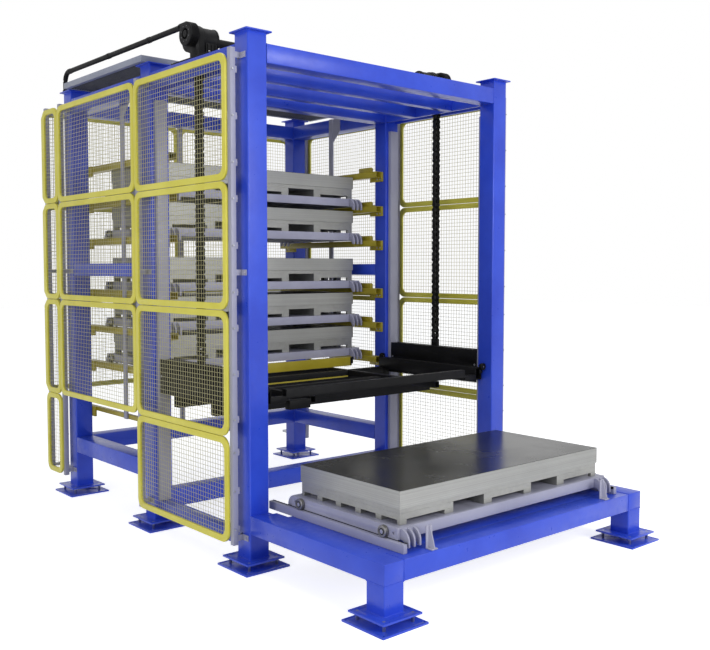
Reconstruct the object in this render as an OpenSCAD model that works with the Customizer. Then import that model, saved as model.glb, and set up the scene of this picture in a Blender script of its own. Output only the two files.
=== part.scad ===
// Automated sheet storage system: a welded tower with a shelf bay behind a lift bay, a loading table
// in front, a chain-hoisted carriage and wheeled trays that roll from the shelves to the table.
// Right is +X, the table is at -Y, up is +Z. Places in Y are counted from the front column centres,
// and the whole part is then moved so that its origin is the middle of its footprint.

/* [Tower] */
// Distance between the left and right column centres
bay_w = 3800; // [3760:10:3860]
// Front column centre to middle column centre, the lift bay
lift_bay = 2030; // [2010:10:2090]
// Middle column centre to rear column centre, the shelf bay
rack_bay = 2220; // [2180:10:2300]
// Top of the column tubes above the floor
column_top = 5555; // [5500:5:5700]
// Width of the square column tube
column_w = 240; // [230:2:246]
// Wall of the column tube
column_wall = 10; // [6:1:16]
// Outer corner radius of the column tube
column_r = 14; // [12:1:24]
// Width of the square cap plate on a column
cap_w = 325; // [280:5:340]
// Thickness of the cap plate
cap_t = 15; // [10:1:25]

/* [Feet] */
// Width of the square plate that lies on the floor
foot_w = 550; // [530:5:570]
// Thickness of the floor plate
foot_t = 20; // [14:1:26]
// Gap between the floor plate and the column plate, set by the jack screws
foot_gap = 70; // [50:5:90]
// Width of the square plate under a column
base_w = 470; // [440:5:480]
// Thickness of the plate under a column
base_t = 18; // [12:1:24]
// Diameter of a jack screw
jack_d = 30; // [20:1:36]
// Distance of a jack screw from the column plate's edges
jack_inset = 60; // [45:5:80]
// Across-flats size of a jack screw's locknut
jack_nut = 46; // [40:1:54]
// Height of a jack screw's locknut
jack_nut_h = 18; // [12:1:24]
// Diameter of an anchor hole in the floor plate
anchor_d = 22; // [16:1:24]
// Distance of an anchor hole's centre from the floor plate's edges
anchor_inset = 30; // [24:1:34]

/* [Beams] */
// Wall of the beams
beam_wall = 8; // [5:1:12]
// How much narrower a beam across the tower is than the columns, shared by both sides
cross_trim = 20; // [10:2:40]
// Distance of the top ring's underside below the column tops
ring_drop = 300; // [280:5:315]
// Height of the top ring of beams
ring_h = 195; // [180:5:200]
// Width of each of the twin channels that leave the chain's slot between them
twin_w = 50; // [40:2:54]
// Underside of the middle side beams in the shelf bay
mid_z = 3045; // [3040:5:3060]
// Height of the middle side beams
mid_h = 164; // [140:2:170]
// Underside of the low beams around the shelf bay
base_z = 585; // [580:5:600]
// Height of the low beams around the shelf bay
base_h = 213; // [190:1:216]
// Underside of the ground beam between the middle columns
ground_z = 215; // [200:5:220]
// Height of the ground beam between the middle columns
ground_h = 215; // [200:5:216]
// Underside of the ground beams beside the lift bay
sill_z = 195; // [180:5:210]
// Height and width of the ground beams beside the lift bay
sill_w = 140; // [120:5:150]
// Distance of the two drive beams from the middle of the lift bay
drive_beam_out = 345; // [330:5:365]
// Width of a drive beam
drive_beam_w = 120; // [100:5:120]

/* [Loading table] */
// Front column centre to table leg centre
table_reach = 2045; // [2040:5:2060]
// Top of the table frame
table_z = 575; // [565:5:580]
// Height of the table beams
table_h = 194; // [180:2:200]
// Height of the ledge that carries a table rail
ledge_h = 95; // [80:5:110]
// Length that a table rail runs past its ledge towards the lift
rail_overhang = 390; // [360:10:420]
// Height of a table rail
table_rail_h = 85; // [80:1:95]
// Width of a table rail
table_rail_w = 48; // [46:1:50]
// Distance of a table rail's front end behind the front face of the table
table_rail_inset = 105; // [90:5:120]
// Height of a table stop
stop_h = 215; // [180:5:230]
// Width of a table stop
stop_w = 80; // [60:5:84]
// Depth of a table stop's foot
stop_l = 85; // [70:5:95]
// Thickness of a table stop's plates
stop_t = 12; // [8:1:14]
// Distance of a stop's centre line from the table rail
stop_inset = 264; // [256:2:290]
// Gap between a stop and the front member of the tray
stop_gap = 138; // [130:1:150]

/* [Shelf levels] */
// Distance of the top shelf level below the top ring
level_drop = 705; // [695:5:715]
// Gap between a sheet stack and the hooks of the tray above it
level_gap = 12; // [8:1:20]
// Extra height across the middle beams
level_extra = 200; // [180:5:204]
// Thickness of a shelf bracket plate
bracket_t = 32; // [24:1:36]
// Height of a shelf bracket plate
bracket_h = 140; // [110:5:150]
// Length of a shelf bracket plate
bracket_l = 255; // [230:5:270]
// Distance of a bracket's front end behind the front face of the middle column
bracket_inset = 55; // [50:1:70]
// Width of a shelf rail
shelf_rail_w = 108; // [104:1:112]
// Height of a shelf rail
shelf_rail_h = 85; // [70:1:95]
// Wall of a shelf rail
shelf_rail_wall = 5; // [3:1:8]
// Length of the guide block on a shelf rail
block_l = 268; // [200:4:300]
// Width of the guide block
block_w = 48; // [36:1:52]
// Height of the guide block
block_h = 75; // [50:5:90]
// Distance of the short low bearers below the lowest shelf level
bearer_drop = 640; // [620:5:670]
// Height and width of a short low bearer
bearer_w = 58; // [50:1:60]
// Length of a short low bearer in front of the hanging upright
bearer_front = 480; // [400:10:520]
// Width of a hanging upright
upright_w = 80; // [70:2:90]

/* [Trays] */
// Gap between a tray's end and the shelf rail
tray_gap = 2; // [1:0.5:6]
// Depth of a tray frame
tray_w = 1600; // [1590:5:1610]
// Height of a tray frame
tray_h = 108; // [100:1:112]
// Gap under a tray frame
tray_lift = 5; // [4:0.5:8]
// Width of a tray's front and rear members
tray_member = 60; // [50:1:64]
// Number of bars between a tray's front and rear members
tray_bars = 5; // [4:1:6]
// Width of a bar in a tray
tray_bar_w = 70; // [60:1:80]
// Diameter of a tray wheel
wheel_d = 116; // [112:1:118]
// Width of a tray wheel
wheel_w = 44; // [40:1:45]
// Diameter of a tray wheel's axle
axle_d = 30; // [24:1:34]
// Distance between a tray's front and rear axles
wheelbase = 1260; // [1240:5:1280]
// Reach of a tray hook
hook_reach = 110; // [100:1:112]
// Drop of a tray hook's tip below the running height
hook_drop = 50; // [40:1:56]
// Thickness of a hook tine
tine_t = 20; // [14:1:24]
// Distance between two hook tines
tine_pitch = 72; // [66:1:74]
// Width of a hook tine at its tip
tine_tip = 33; // [24:1:40]
// Distance of the outermost hook tine from the tray's end
hook_inset = 34; // [28:1:40]
// Diameter of the lifting hole in a tray's end
sling_d = 26; // [18:1:34]
// Distance of a lifting hole from the tray's front or rear face
sling_inset = 57; // [45:1:66]
// Distance of the sheets' ends inside the tray's ends
load_end = 78; // [68:1:110]
// Distance of the sheets' long edges inside the tray's long edges
load_edge = 50; // [40:1:60]
// Distance of the skid's sides inside the sheets' edges
skid_inset = 10; // [0:1:25]
// Height of the skid
skid_h = 152; // [140:2:160]
// Height of the sheet stack
stack_h = 173; // [120:1:176]
// Depth of the skid's long fork pockets
pocket_h = 105; // [95:1:110]
// Depth of the skid's shallow slots
slot_h = 45; // [35:1:55]
// Width of a shallow slot in the long side
slot_w = 512; // [480:2:530]
// Length of the skid's end blocks
skid_end = 87; // [70:1:110]
// Width of the skid's feet beside the fork pockets
skid_foot = 122; // [110:1:130]
// Number of shallow slots in the short side
side_slots = 5; // [4:1:5]
// Width of the skid's feet between the slots of the short side
side_foot = 46; // [40:1:70]

/* [Carriage] */
// Top of a carriage side beam above the running height
side_up = 212; // [190:2:230]
// Bottom of a carriage side beam below the running height
side_down = 198; // [180:2:205]
// Width of a carriage side beam
side_w = 140; // [130:2:140]
// Thickness of a side beam's cheek plates
cheek_t = 15; // [10:1:18]
// Height of a carriage rail
carriage_rail_h = 160; // [150:2:170]
// Depth of a carriage rail's cross joint behind the columns
carriage_nose = 30; // [28:1:34]
// Depth of the carriage's front beam
front_beam_w = 80; // [70:2:80]
// Distance of the front beam's top below the running height
front_beam_drop = 15; // [12:1:18]
// Height of the front beam between the hook notches
front_beam_h = 100; // [85:1:110]
// Depth of the notches in the front beam that the tray hooks pass over
hook_notch = 91; // [84:1:95]
// Height of the lower cross beams
under_beam_h = 180; // [150:5:190]
// Depth of the lower cross beams
under_beam_w = 100; // [90:2:110]
// Diameter of a rail roller
rail_roller_d = 90; // [84:1:92]
// Diameter of a rail roller's shaft
rail_pin_d = 30; // [24:1:34]
// Diameter of a side roller
side_roller_d = 89.4; // [86:0.1:89.4]
// Width of a side roller
side_roller_w = 38; // [34:1:40]
// Diameter of a side roller's shaft
side_pin_d = 20; // [16:1:24]
// Height of the rollers above the running height
roller_up = 10; // [8:1:14]
// Width of a guide rail
guide_w = 142; // [130:2:146]
// Height of a guide rail off its column
guide_t = 57; // [52:1:58]
// Distance of the guide rails' top ends below the top ring
guide_drop = 125; // [95:5:145]
// Wall of a guide rail
guide_wall = 10; // [6:1:12]
// Thickness of the plates that carry the side rollers
side_plate_t = 12; // [8:1:14]
// Width of the lug that holds the chain's last pin
lug_w = 110; // [90:5:130]
// Metal of the lug above the chain's last pin
lug_edge = 30; // [24:1:40]

/* [Transfer] */
// Gap between the transfer beam's ends and the tray hooks
hook_gap = 10; // [8:1:20]
// Depth of the transfer beam
transfer_w = 70; // [60:1:72]
// Height of the transfer beam
transfer_h = 130; // [120:1:134]
// Gap from the top of the transfer beam to the running height
transfer_drop = 5; // [4:0.5:8]
// Height of a transfer guide
transfer_guide_h = 80; // [70:1:82]
// Width of a transfer guide
transfer_guide_w = 80; // [70:1:90]
// Distance of a transfer guide from the middle
transfer_guide_x = 1000; // [960:5:1020]
// Length of the transfer gearmotor's case
transfer_motor_l = 290; // [260:5:300]
// Depth of the transfer gearmotor's case
transfer_motor_w = 88; // [80:1:120]
// Length of the gearmotor's case below the transfer guide
transfer_motor_drop = 45; // [30:1:60]

/* [Hoist] */
// Pitch of the hoist chain
chain_pitch = 76.2; // [70:0.1:80]
// Height of a chain plate
chain_plate_h = 70; // [60:1:72]
// Thickness of a chain plate
chain_plate_t = 9.5; // [8:0.1:10]
// Diameter of a chain roller
chain_roller_d = 47.6; // [40:0.1:48]
// Diameter of a chain pin
chain_pin_d = 22; // [18:0.5:26]
// Width between a chain's inner plates
chain_gap = 47; // [44:0.5:48]
// Teeth of a chain wheel
sprocket_teeth = 9; // [8:1:9]
// Height of the hoist shaft's centre above the drive base plates
shaft_h = 243; // [235:1:255]
// Diameter of the hoist shaft between the gear units
shaft_d = 100; // [90:1:110]
// Diameter of the hoist shaft's ends
shaft_end_d = 60; // [50:1:70]
// Gap between the chain and the inside of its case
case_gap = 7.6; // [6:0.1:10]
// Wall of a chain case
case_wall = 6; // [4:0.5:7]
// Radius of a gear unit
gear_r = 120; // [110:1:125]
// Length of a gear unit
gear_l = 190; // [170:5:200]
// Radius of a hoist motor
motor_r = 115; // [100:1:118]
// Length of a hoist motor
motor_l = 115; // [100:1:120]
// Thickness of the drive base plates
drive_plate_t = 15; // [10:1:18]
// Outer diameter of the cable conduit
conduit_d = 50; // [40:1:54]
// Wall of the cable conduit
conduit_wall = 3; // [2:0.5:5]
// Height of the conduit's straight run above the motors' centres
conduit_up = 75; // [68:1:80]
// Bend radius of the conduit
conduit_bend = 120; // [100:5:140]

/* [Fence] */
// Distance of the fence's outer face from the columns' outer faces
fence_out = 165; // [160:1:172]
// Thickness of the fence frames
fence_t = 30; // [24:1:32]
// Width of a fence frame member
fence_member = 70; // [60:1:76]
// Outer corner radius of a fence frame
fence_r = 118; // [100:1:130]
// Gap between two neighbouring fence frames
fence_gap = 6; // [4:1:10]
// Width of the square fence posts
post_w = 60; // [50:1:64]
// Bottom of the fence
fence_z0 = 271; // [265:1:280]
// Height of the lowest row of panels
row_1 = 1126; // [1110:1:1140]
// Height of the second row of panels
row_2 = 1319; // [1300:1:1330]
// Height of the third row of panels
row_3 = 1330; // [1310:1:1340]
// Distance of the top row's upper edge below the column tops
fence_drop = 207; // [195:1:215]
// Distance of the rear fence's outer face behind the rear column centres
fence_rear = 530; // [520:5:540]
// Pitch of the mesh wires
mesh_pitch = 300; // [250:10:400]
// Thickness of a mesh wire
mesh_wire = 8; // [5:1:10]
// Height and width of a fence clamp
clamp_w = 40; // [34:1:46]

/* [Roof] */
// Distance of the roof's front edge in front of the middle column centres
roof_front = 100; // [80:5:120]
// Distance of the roof's rear edge in front of the rear column centres
roof_rear = 130; // [110:5:135]
// Height of the roof frame
roof_h = 75; // [65:1:85]
// Width of a roof frame member
roof_member = 60; // [50:1:64]
// Thickness of the roof grating
deck_t = 14; // [10:1:18]
// Pitch of the roof grating
deck_pitch = 300; // [250:10:400]

/* [Hidden] */
$fn = 48;
// Running clearance of turning and sliding pieces, and of bolted pieces in one node
clear = 0.3;
// Radial clearance of a shaft in its bore
fit = 0.1;
// Overrun of a cutting shape past the face that it cuts
over = 5;
// Gaps between the carriage's cheeks and the guide rails, its rails and the middle columns, a roller and
// its cheek, two rails that meet, and the transfer beam and the trays
cheek_gap = 13;
column_gap = 10;
roller_gap = 2;
rail_gap = 20;
transfer_gap = 40;
// Distance of the hoist motors in front of the shaft, and of the front posts behind the front columns
motor_ahead = 80;
post_front_y = 20;
// Length of a post below the lowest panel
post_end = 9;
// Length of a dog at the end of the transfer beam
dog_l = 30;
// Drop of the bar between the transfer guides below their tops
bar_drop = 25;

column_x = bay_w / 2;
mid_y = lift_bay;
rear_y = lift_bay + rack_bay;
table_y = -table_reach;
inner_x = column_x - column_w / 2;
outer_x = column_x + column_w / 2;
base_plate_z = foot_t + foot_gap;
column_z = base_plate_z + base_t;
cap_z = column_top + cap_t;
ring_z = column_top - ring_drop;
ring_top = ring_z + ring_h;
guide_top = ring_z - guide_drop;

// Faces of the fence, and the whole footprint that the origin is the middle of
fence_x = outer_x + fence_out;
fence_y_rear = rear_y + fence_rear;
footprint_front = table_y - foot_w / 2;
footprint_rear = fence_y_rear;
origin_y = (footprint_front + footprint_rear) / 2;

// Shelf rails: the bracket stands against the column, and the rail against the bracket
rail_out = inner_x - bracket_t;
rail_in = rail_out - shelf_rail_w;
shelf_y0 = mid_y - column_w / 2 + bracket_inset;
shelf_y1 = rear_y + column_w / 2 - bracket_inset;
shelf_mid_y = (mid_y + rear_y) / 2;
level_pitch = tray_lift + tray_h + skid_h + stack_h + hook_drop + level_gap;
level_top = ring_z - level_drop;
levels = [for (i = [0:5]) level_top - i * level_pitch - (i > 2 ? level_extra : 0)];
rest_z = levels[5];
bearer_z = rest_z - bearer_drop;
table_run_z = table_z + table_rail_h;

// Places of the trays: five on the shelves and one on the table
shelf_tray_y = (mid_y + rear_y) / 2;
lift_tray_y = mid_y / 2;
drive_beams = [lift_tray_y - drive_beam_out, lift_tray_y + drive_beam_out];
tray_half_w = tray_w / 2;
tray_l = 2 * (rail_in - tray_gap);
comb_x1 = tray_l / 2 - hook_inset;
comb_x0 = comb_x1 - 2 * tine_pitch - tine_t;
transfer_l = 2 * (comb_x0 - hook_gap);
load_l = tray_l - 2 * load_end;
load_w = tray_w - 2 * load_edge;
stop_x = rail_in - stop_inset;
stop_back = table_y - column_w / 2 + stop_t + stop_l;
table_tray_y = stop_back + stop_gap + tray_half_w;
tray_bottom = tray_lift;
tray_top = tray_lift + tray_h;
skid_top = tray_top + skid_h;
wheel_x0 = rail_in;

// Carriage
side_x0 = column_x - side_w / 2;
side_x1 = column_x + side_w / 2;
guide_y0 = column_w / 2 + guide_t;
guide_y1 = mid_y - column_w / 2 - guide_t;
side_y0 = guide_y0 + cheek_gap;
side_y1 = guide_y1 - cheek_gap;
roller_pocket = rail_roller_d - cheek_gap + 2 * clear + over;
front_roller_y = guide_y0 + rail_roller_d / 2 + clear;
rear_roller_y = guide_y1 - rail_roller_d / 2 - clear;
roller_z = rest_z + roller_up;
carriage_y0 = carriage_nose;
carriage_y1 = mid_y - column_w / 2 - column_gap;
front_beam_y1 = carriage_y0 + front_beam_w;
transfer_bottom = -transfer_drop - transfer_h;
transfer_guide_top = transfer_bottom - clear;
under_beam_top = transfer_guide_top - transfer_guide_h;
tray_front_at_shelf = shelf_tray_y - tray_half_w;
transfer_y1 = tray_front_at_shelf - transfer_gap;
transfer_y0 = transfer_y1 - transfer_w;
lift_chain_y = lift_tray_y;

// Hoist
drive_top = ring_top + drive_plate_t;
shaft_z = drive_top + shaft_h;
sprocket_r = chain_pitch / (2 * sin(180 / sprocket_teeth));
shaft_y = lift_chain_y + sprocket_r;
chain_links = floor((shaft_z - rest_z - side_up - chain_plate_h / 2 - clear) / chain_pitch);
chain_end_z = shaft_z - chain_links * chain_pitch;
case_r = sprocket_r + chain_plate_h / 2 + case_gap + case_wall;
case_w = chain_gap + 4 * (chain_plate_t + clear) + 2 * (case_gap + case_wall);
case_x0 = column_x - case_w / 2;
case_x1 = column_x + case_w / 2;
gear_x0 = case_x0 - gear_l;
motor_y = shaft_y - motor_ahead;
motor_z = shaft_z + case_r - motor_r;
conduit_z = motor_z + conduit_up;

// Fence
row_z = [fence_z0, fence_z0 + row_1, fence_z0 + row_1 + row_2, fence_z0 + row_1 + row_2 + row_3,
         column_top - fence_drop];
post_x1 = fence_x - fence_t;
post_x0 = post_x1 - post_w;
post_rear_y = fence_y_rear - fence_t - post_w / 2;
fence_y = [post_front_y + post_w / 2 - fence_gap, mid_y, rear_y, fence_y_rear - fence_t];

// The sides of the roof grating are flush with the caps
roof_l = 2 * (column_x + cap_w / 2 + roof_member);

// Moves a piece from the front column line to the part's origin
module site() translate([0, -origin_y, 0]) children();

// Repeats a piece on the left and on the right
module both_sides() {
    children();
    mirror([1, 0, 0]) children();
}

// Box between two places on each axis
module box(x, y, z) {
    translate([x[0], y[0], z[0]]) cube([x[1] - x[0], y[1] - y[0], z[1] - z[0]]);
}

// Outline of a square tube with round corners
module round_square(w, r) {
    square([w - 2 * r, w], center = true);
    square([w, w - 2 * r], center = true);
    for (x = [-1, 1], y = [-1, 1]) translate([x * (w / 2 - r), y * (w / 2 - r)]) circle(r);
}

// Outline of a rectangle with round corners between two places on each axis
module round_rect(x, y, r) {
    translate([x[0] + r, y[0]]) square([x[1] - x[0] - 2 * r, y[1] - y[0]]);
    translate([x[0], y[0] + r]) square([x[1] - x[0], y[1] - y[0] - 2 * r]);
    for (u = [x[0] + r, x[1] - r], v = [y[0] + r, y[1] - r]) translate([u, v]) circle(r);
}

// Rectangular tube that runs along Y
module beam_y(x, y, z, wall) {
    difference() {
        box(x, y, z);
        box([x[0] + wall, x[1] - wall], [y[0] - over, y[1] + over], [z[0] + wall, z[1] - wall]);
    }
}

// Rectangular tube that runs along X
module beam_x(x, y, z, wall) {
    difference() {
        box(x, y, z);
        box([x[0] - over, x[1] + over], [y[0] + wall, y[1] - wall], [z[0] + wall, z[1] - wall]);
    }
}

// Cylinder along X from x[0] to x[1]
module rod_x(x, y, z, r) translate([x[0], y, z]) rotate([0, 90, 0]) cylinder(h = x[1] - x[0], r = r);

// Cylinder along Y from y[0] to y[1]
module rod_y(x, y, z, r) translate([x, y[1], z]) rotate([90, 0, 0]) cylinder(h = y[1] - y[0], r = r);

// Extrudes an outline drawn in Y and Z along X
module slab_x(x) translate([x[0], 0, 0]) rotate([90, 0, 90]) linear_extrude(x[1] - x[0]) children();

// Centres of the six columns and the two table legs
function column_places() = [for (x = [-column_x, column_x], y = [0, mid_y, rear_y]) [x, y]];
function leg_places() = [for (x = [-column_x, column_x]) [x, table_y]];
function foot_places() = concat(column_places(), leg_places());

// Tower

module post_tube(h) {
    linear_extrude(h) difference() {
        round_square(column_w, column_r);
        square(column_w - 2 * column_wall, center = true);
    }
}

module columns() {
    color("royalblue") site() {
        for (p = column_places()) translate([p[0], p[1], column_z]) post_tube(column_top - column_z);
        for (p = leg_places()) {
            translate([p[0], p[1], column_z]) post_tube(table_z - table_h - column_z);
        }
    }
}

module column_caps() {
    color("royalblue") site() for (p = column_places()) {
        translate([p[0], p[1], column_top]) linear_extrude(cap_t) round_square(cap_w, cap_t);
    }
}

module jack_places() {
    reach = base_w / 2 - jack_inset;
    for (p = foot_places(), x = [-reach, reach], y = [-reach, reach]) {
        translate([p[0] + x, p[1] + y, 0]) children();
    }
}

module base_plates() {
    color("royalblue") site() difference() {
        for (p = foot_places()) {
            translate([p[0], p[1], base_plate_z]) linear_extrude(base_t) square(base_w, center = true);
        }
        jack_places() translate([0, 0, base_plate_z - over]) {
            cylinder(h = base_t + 2 * over, d = jack_d + 2 * clear);
        }
    }
}

module foot_plates() {
    reach = foot_w / 2 - anchor_inset;
    color("royalblue") site() difference() {
        for (p = foot_places()) {
            translate([p[0], p[1], 0]) linear_extrude(foot_t) square(foot_w, center = true);
        }
        for (p = foot_places(), x = [-reach, reach], y = [-reach, reach]) {
            translate([p[0] + x, p[1] + y, -over]) cylinder(h = foot_t + 2 * over, d = anchor_d);
        }
    }
}

module jack_screws() {
    color("dimgray") site() jack_places() translate([0, 0, foot_t]) {
        cylinder(h = foot_gap + base_t, d = jack_d);
        translate([0, 0, foot_gap - jack_nut_h]) {
            cylinder(h = jack_nut_h, d = jack_nut / cos(30), $fn = 6);
        }
    }
}

// Twin channels beside the lift bay, with the chain's way between them
module twin_beam() {
    y = [column_w / 2, mid_y - column_w / 2];
    for (x = [[inner_x, inner_x + twin_w], [outer_x - twin_w, outer_x]]) {
        beam_y(x, y, [ring_z, ring_top], beam_wall);
    }
}

// Side beam of the loading table with a plate over its front end and the ledge that its rail lies on
module table_side_beam() {
    front = table_y - column_w / 2;
    beam_y([inner_x, outer_x], [front, -column_w / 2], [table_z - table_h, table_z], beam_wall);
    box([inner_x, outer_x], [front, front + beam_wall], [table_z - table_h, table_z]);
    box([rail_in, inner_x], [table_y + column_w / 2, -rail_overhang], [table_z - ledge_h, table_z]);
}

module side_beams() {
    shelf = [mid_y + column_w / 2, rear_y - column_w / 2];
    lift = [column_w / 2, mid_y - column_w / 2];
    color("royalblue") site() both_sides() {
        table_side_beam();
        twin_beam();
        beam_y([column_x - sill_w / 2, column_x + sill_w / 2], lift, [sill_z, sill_z + sill_w], beam_wall);
        beam_y([inner_x, outer_x], shelf, [base_z, base_z + base_h], beam_wall);
        beam_y([inner_x, outer_x], shelf, [mid_z, mid_z + mid_h], beam_wall);
        beam_y([inner_x, outer_x], shelf, [ring_z, ring_top], beam_wall);
    }
}

module cross_beams() {
    x = [-inner_x, inner_x];
    half = (column_w - cross_trim) / 2;
    color("royalblue") site() {
        for (y = [mid_y, rear_y]) beam_x(x, [y - half, y + half], [ring_z, ring_top], beam_wall);
        for (y = drive_beams) {
            beam_x(x, [y - drive_beam_w / 2, y + drive_beam_w / 2], [ring_z, ring_top], beam_wall);
        }
        beam_x(x, [mid_y - half, mid_y + half], [ground_z, ground_z + ground_h], beam_wall);
        beam_x(x, [rear_y - half, rear_y + half], [base_z, base_z + base_h], beam_wall);
        beam_x(x, [table_y - column_w / 2, table_y + column_w / 2], [table_z - table_h, table_z], beam_wall);
    }
}

module front_lintel() {
    color("royalblue") site() {
        beam_x([-inner_x, inner_x], [-column_w / 2, column_w / 2 - cross_trim], [ring_z, ring_top], beam_wall);
    }
}

// Rails on the columns' faces that the carriage rollers run on
module guide_rails() {
    x = [column_x - guide_w / 2, column_x + guide_w / 2];
    z = [sill_z + sill_w + over, guide_top];
    color("lightgray") site() both_sides() {
        for (y = [[column_w / 2, guide_y0], [guide_y1, mid_y - column_w / 2]]) difference() {
            box(x, y, z);
            box([x[0] + guide_wall, x[1] - guide_wall], [y[0] + guide_wall, y[1] - guide_wall],
                [z[0] - over, z[1] + over]);
        }
    }
}

// Shelves

module shelf_brackets() {
    ends = [[shelf_y0, shelf_y0 + bracket_l], [shelf_y1 - bracket_l, shelf_y1]];
    color("goldenrod") site() both_sides() {
        for (z = levels, y = ends) box([rail_out, inner_x], y, [z - bracket_h, z]);
        box([rail_out, inner_x], ends[1], [bearer_z - bracket_h, bearer_z]);
    }
}

module shelf_rails() {
    tab = bearer_w / 2;
    y0 = shelf_mid_y - bearer_front;
    color("goldenrod") site() both_sides() {
        for (z = levels) {
            beam_y([rail_in, rail_out], [shelf_y0, shelf_y1], [z - shelf_rail_h, z], shelf_rail_wall);
        }
        box([rail_out - bearer_w, rail_out], [y0, shelf_y1], [bearer_z - bearer_w, bearer_z]);
        box([rail_out - bearer_w, rail_out], [y0, y0 + bearer_w], [bearer_z - bearer_w - tab, bearer_z]);
    }
}

module rail_blocks() {
    y0 = mid_y + column_w / 2;
    color("goldenrod") site() both_sides() for (z = levels) difference() {
        box([rail_out - block_w, rail_out], [y0, y0 + block_l], [z, z + block_h]);
        translate([rail_out, y0, z + block_h]) rotate([0, -45, 0]) {
            cube([block_w / 2, 2 * (block_l + over), block_w / 2], center = true);
        }
    }
}

// Flat bars that hang from the top side beams and hold the shelf rails in the middle
module hanging_uprights() {
    y = [shelf_mid_y - upright_w / 2, shelf_mid_y + upright_w / 2];
    gusset = 2 * upright_w;
    color("slategray") site() both_sides() {
        box([rail_out, inner_x], y, [bearer_z - bearer_w, ring_top]);
        slab_x([inner_x - bracket_t / 2, inner_x]) polygon([
            [y[0], ring_z], [y[0], ring_z - gusset], [y[0] - gusset, ring_z], [y[0] - gusset, ring_top],
            [y[0], ring_top]
        ]);
    }
}

// Loading table

module table_rails() {
    front = table_y - column_w / 2 + table_rail_inset;
    color("lightgray") site() both_sides() {
        box([rail_in, rail_in + table_rail_w], [front, carriage_y0 - rail_gap], [table_z, table_run_z]);
    }
}

module table_stops() {
    front = table_y - column_w / 2 + stop_t;
    x = [stop_x - stop_w / 2, stop_x + stop_w / 2];
    back = stop_back;
    color("lightgray") site() both_sides() {
        box(x, [front, back], [table_z, table_z + stop_t]);
        box(x, [back - stop_t, back], [table_z, table_z + stop_h]);
        slab_x([stop_x - stop_t / 2, stop_x + stop_t / 2]) polygon([
            [front, table_z + stop_t], [back - stop_t, table_z + stop_t],
            [back - stop_t, table_z + stop_h], [back - 2 * stop_t, table_z + stop_h]
        ]);
    }
}

// Fence

module post(y, x = [post_x0, post_x1], z0 = fence_z0 - post_end) {
    top = row_z[4] + 4 * post_end;
    difference() {
        box(x, [y - post_w / 2, y + post_w / 2], [z0, top]);
        box([x[0] + beam_wall / 2, x[1] - beam_wall / 2],
            [y - post_w / 2 + beam_wall / 2, y + post_w / 2 - beam_wall / 2], [z0 - over, top + over]);
    }
}

module fence_posts() {
    color("lightsteelblue") site() {
        both_sides() for (y = [post_front_y, mid_y, rear_y, post_rear_y]) post(y);
        post(post_rear_y, [-post_w / 2, post_w / 2], base_z);
    }
}

// Clamps that hold the posts off the columns, and the arms of the rear posts
module fence_clamps() {
    heights = [fence_z0 + clamp_w, mid_z + clamp_w, ring_z + clamp_w];
    color("silver") site() {
        both_sides() for (z = heights) {
            for (y = [post_front_y, mid_y, rear_y]) {
                box([outer_x, post_x0], [y - clamp_w / 2, y + clamp_w / 2], [z, z + clamp_w]);
            }
            box([outer_x - clamp_w, outer_x], [rear_y + column_w / 2, post_rear_y + clamp_w / 2],
                [z, z + clamp_w]);
            box([outer_x, post_x0], [post_rear_y - clamp_w / 2, post_rear_y + clamp_w / 2],
                [z, z + clamp_w]);
        }
        for (z = [base_z + clamp_w, ring_z + clamp_w]) {
            box([-clamp_w / 2, clamp_w / 2], [rear_y + (column_w - cross_trim) / 2, post_rear_y - post_w / 2],
                [z, z + clamp_w]);
        }
    }
}

// Places of the panels: column of the fence, first and last place along it, first row
side_panels = [for (c = [0:2], r = [0:3]) if (c != 1 || r > 0)
    [[fence_y[c] + fence_gap / 2, fence_y[c + 1] - fence_gap / 2],
     [row_z[r] + fence_gap / 2, row_z[r + 1] - fence_gap / 2]]];
rear_panels = [for (c = [0, 1], r = [1:3])
    [[(c - 1) * fence_x + fence_gap / 2, c * fence_x - fence_gap / 2],
     [row_z[r] + fence_gap / 2, row_z[r + 1] - fence_gap / 2]]];

module panel_frame(x, y) {
    m = fence_member;
    difference() {
        round_rect(x, y, fence_r);
        round_rect([x[0] + m, x[1] - m], [y[0] + m, y[1] - m], fence_r - m / 2);
    }
}

// Wires spread evenly between the members, with both ends on them
module panel_mesh(x, y) {
    m = fence_member;
    w = x[1] - x[0] - 2 * m;
    h = y[1] - y[0] - 2 * m;
    nx = max(2, round(w / mesh_pitch));
    ny = max(2, round(h / mesh_pitch));
    intersection() {
        round_rect([x[0] + m, x[1] - m], [y[0] + m, y[1] - m], fence_r - m / 2);
        union() {
            for (i = [1:nx - 1]) {
                translate([x[0] + m + i * w / nx - mesh_wire / 2, y[0] + m]) square([mesh_wire, h]);
            }
            for (i = [1:ny - 1]) {
                translate([x[0] + m, y[0] + m + i * h / ny - mesh_wire / 2]) square([w, mesh_wire]);
            }
        }
    }
}

// Stands an outline of the rear fence up in its plane
module rear_plane(t, depth) {
    translate([0, fence_y_rear - depth, 0]) rotate([90, 0, 0]) linear_extrude(t) children();
}

module fence_frames() {
    color("khaki") site() {
        both_sides() for (p = side_panels) slab_x([post_x1, fence_x]) panel_frame(p[0], p[1]);
        for (p = rear_panels) rear_plane(fence_t, 0) panel_frame(p[0], p[1]);
    }
}

module fence_mesh() {
    depth = (fence_t - mesh_wire) / 2;
    color("olive") site() {
        both_sides() for (p = side_panels) {
            slab_x([fence_x - depth - mesh_wire, fence_x - depth]) panel_mesh(p[0], p[1]);
        }
        for (p = rear_panels) rear_plane(mesh_wire, depth) panel_mesh(p[0], p[1]);
    }
}

// Roof

roof_x = [-roof_l / 2, roof_l / 2];
roof_y = [mid_y - roof_front, rear_y - roof_rear];

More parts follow.
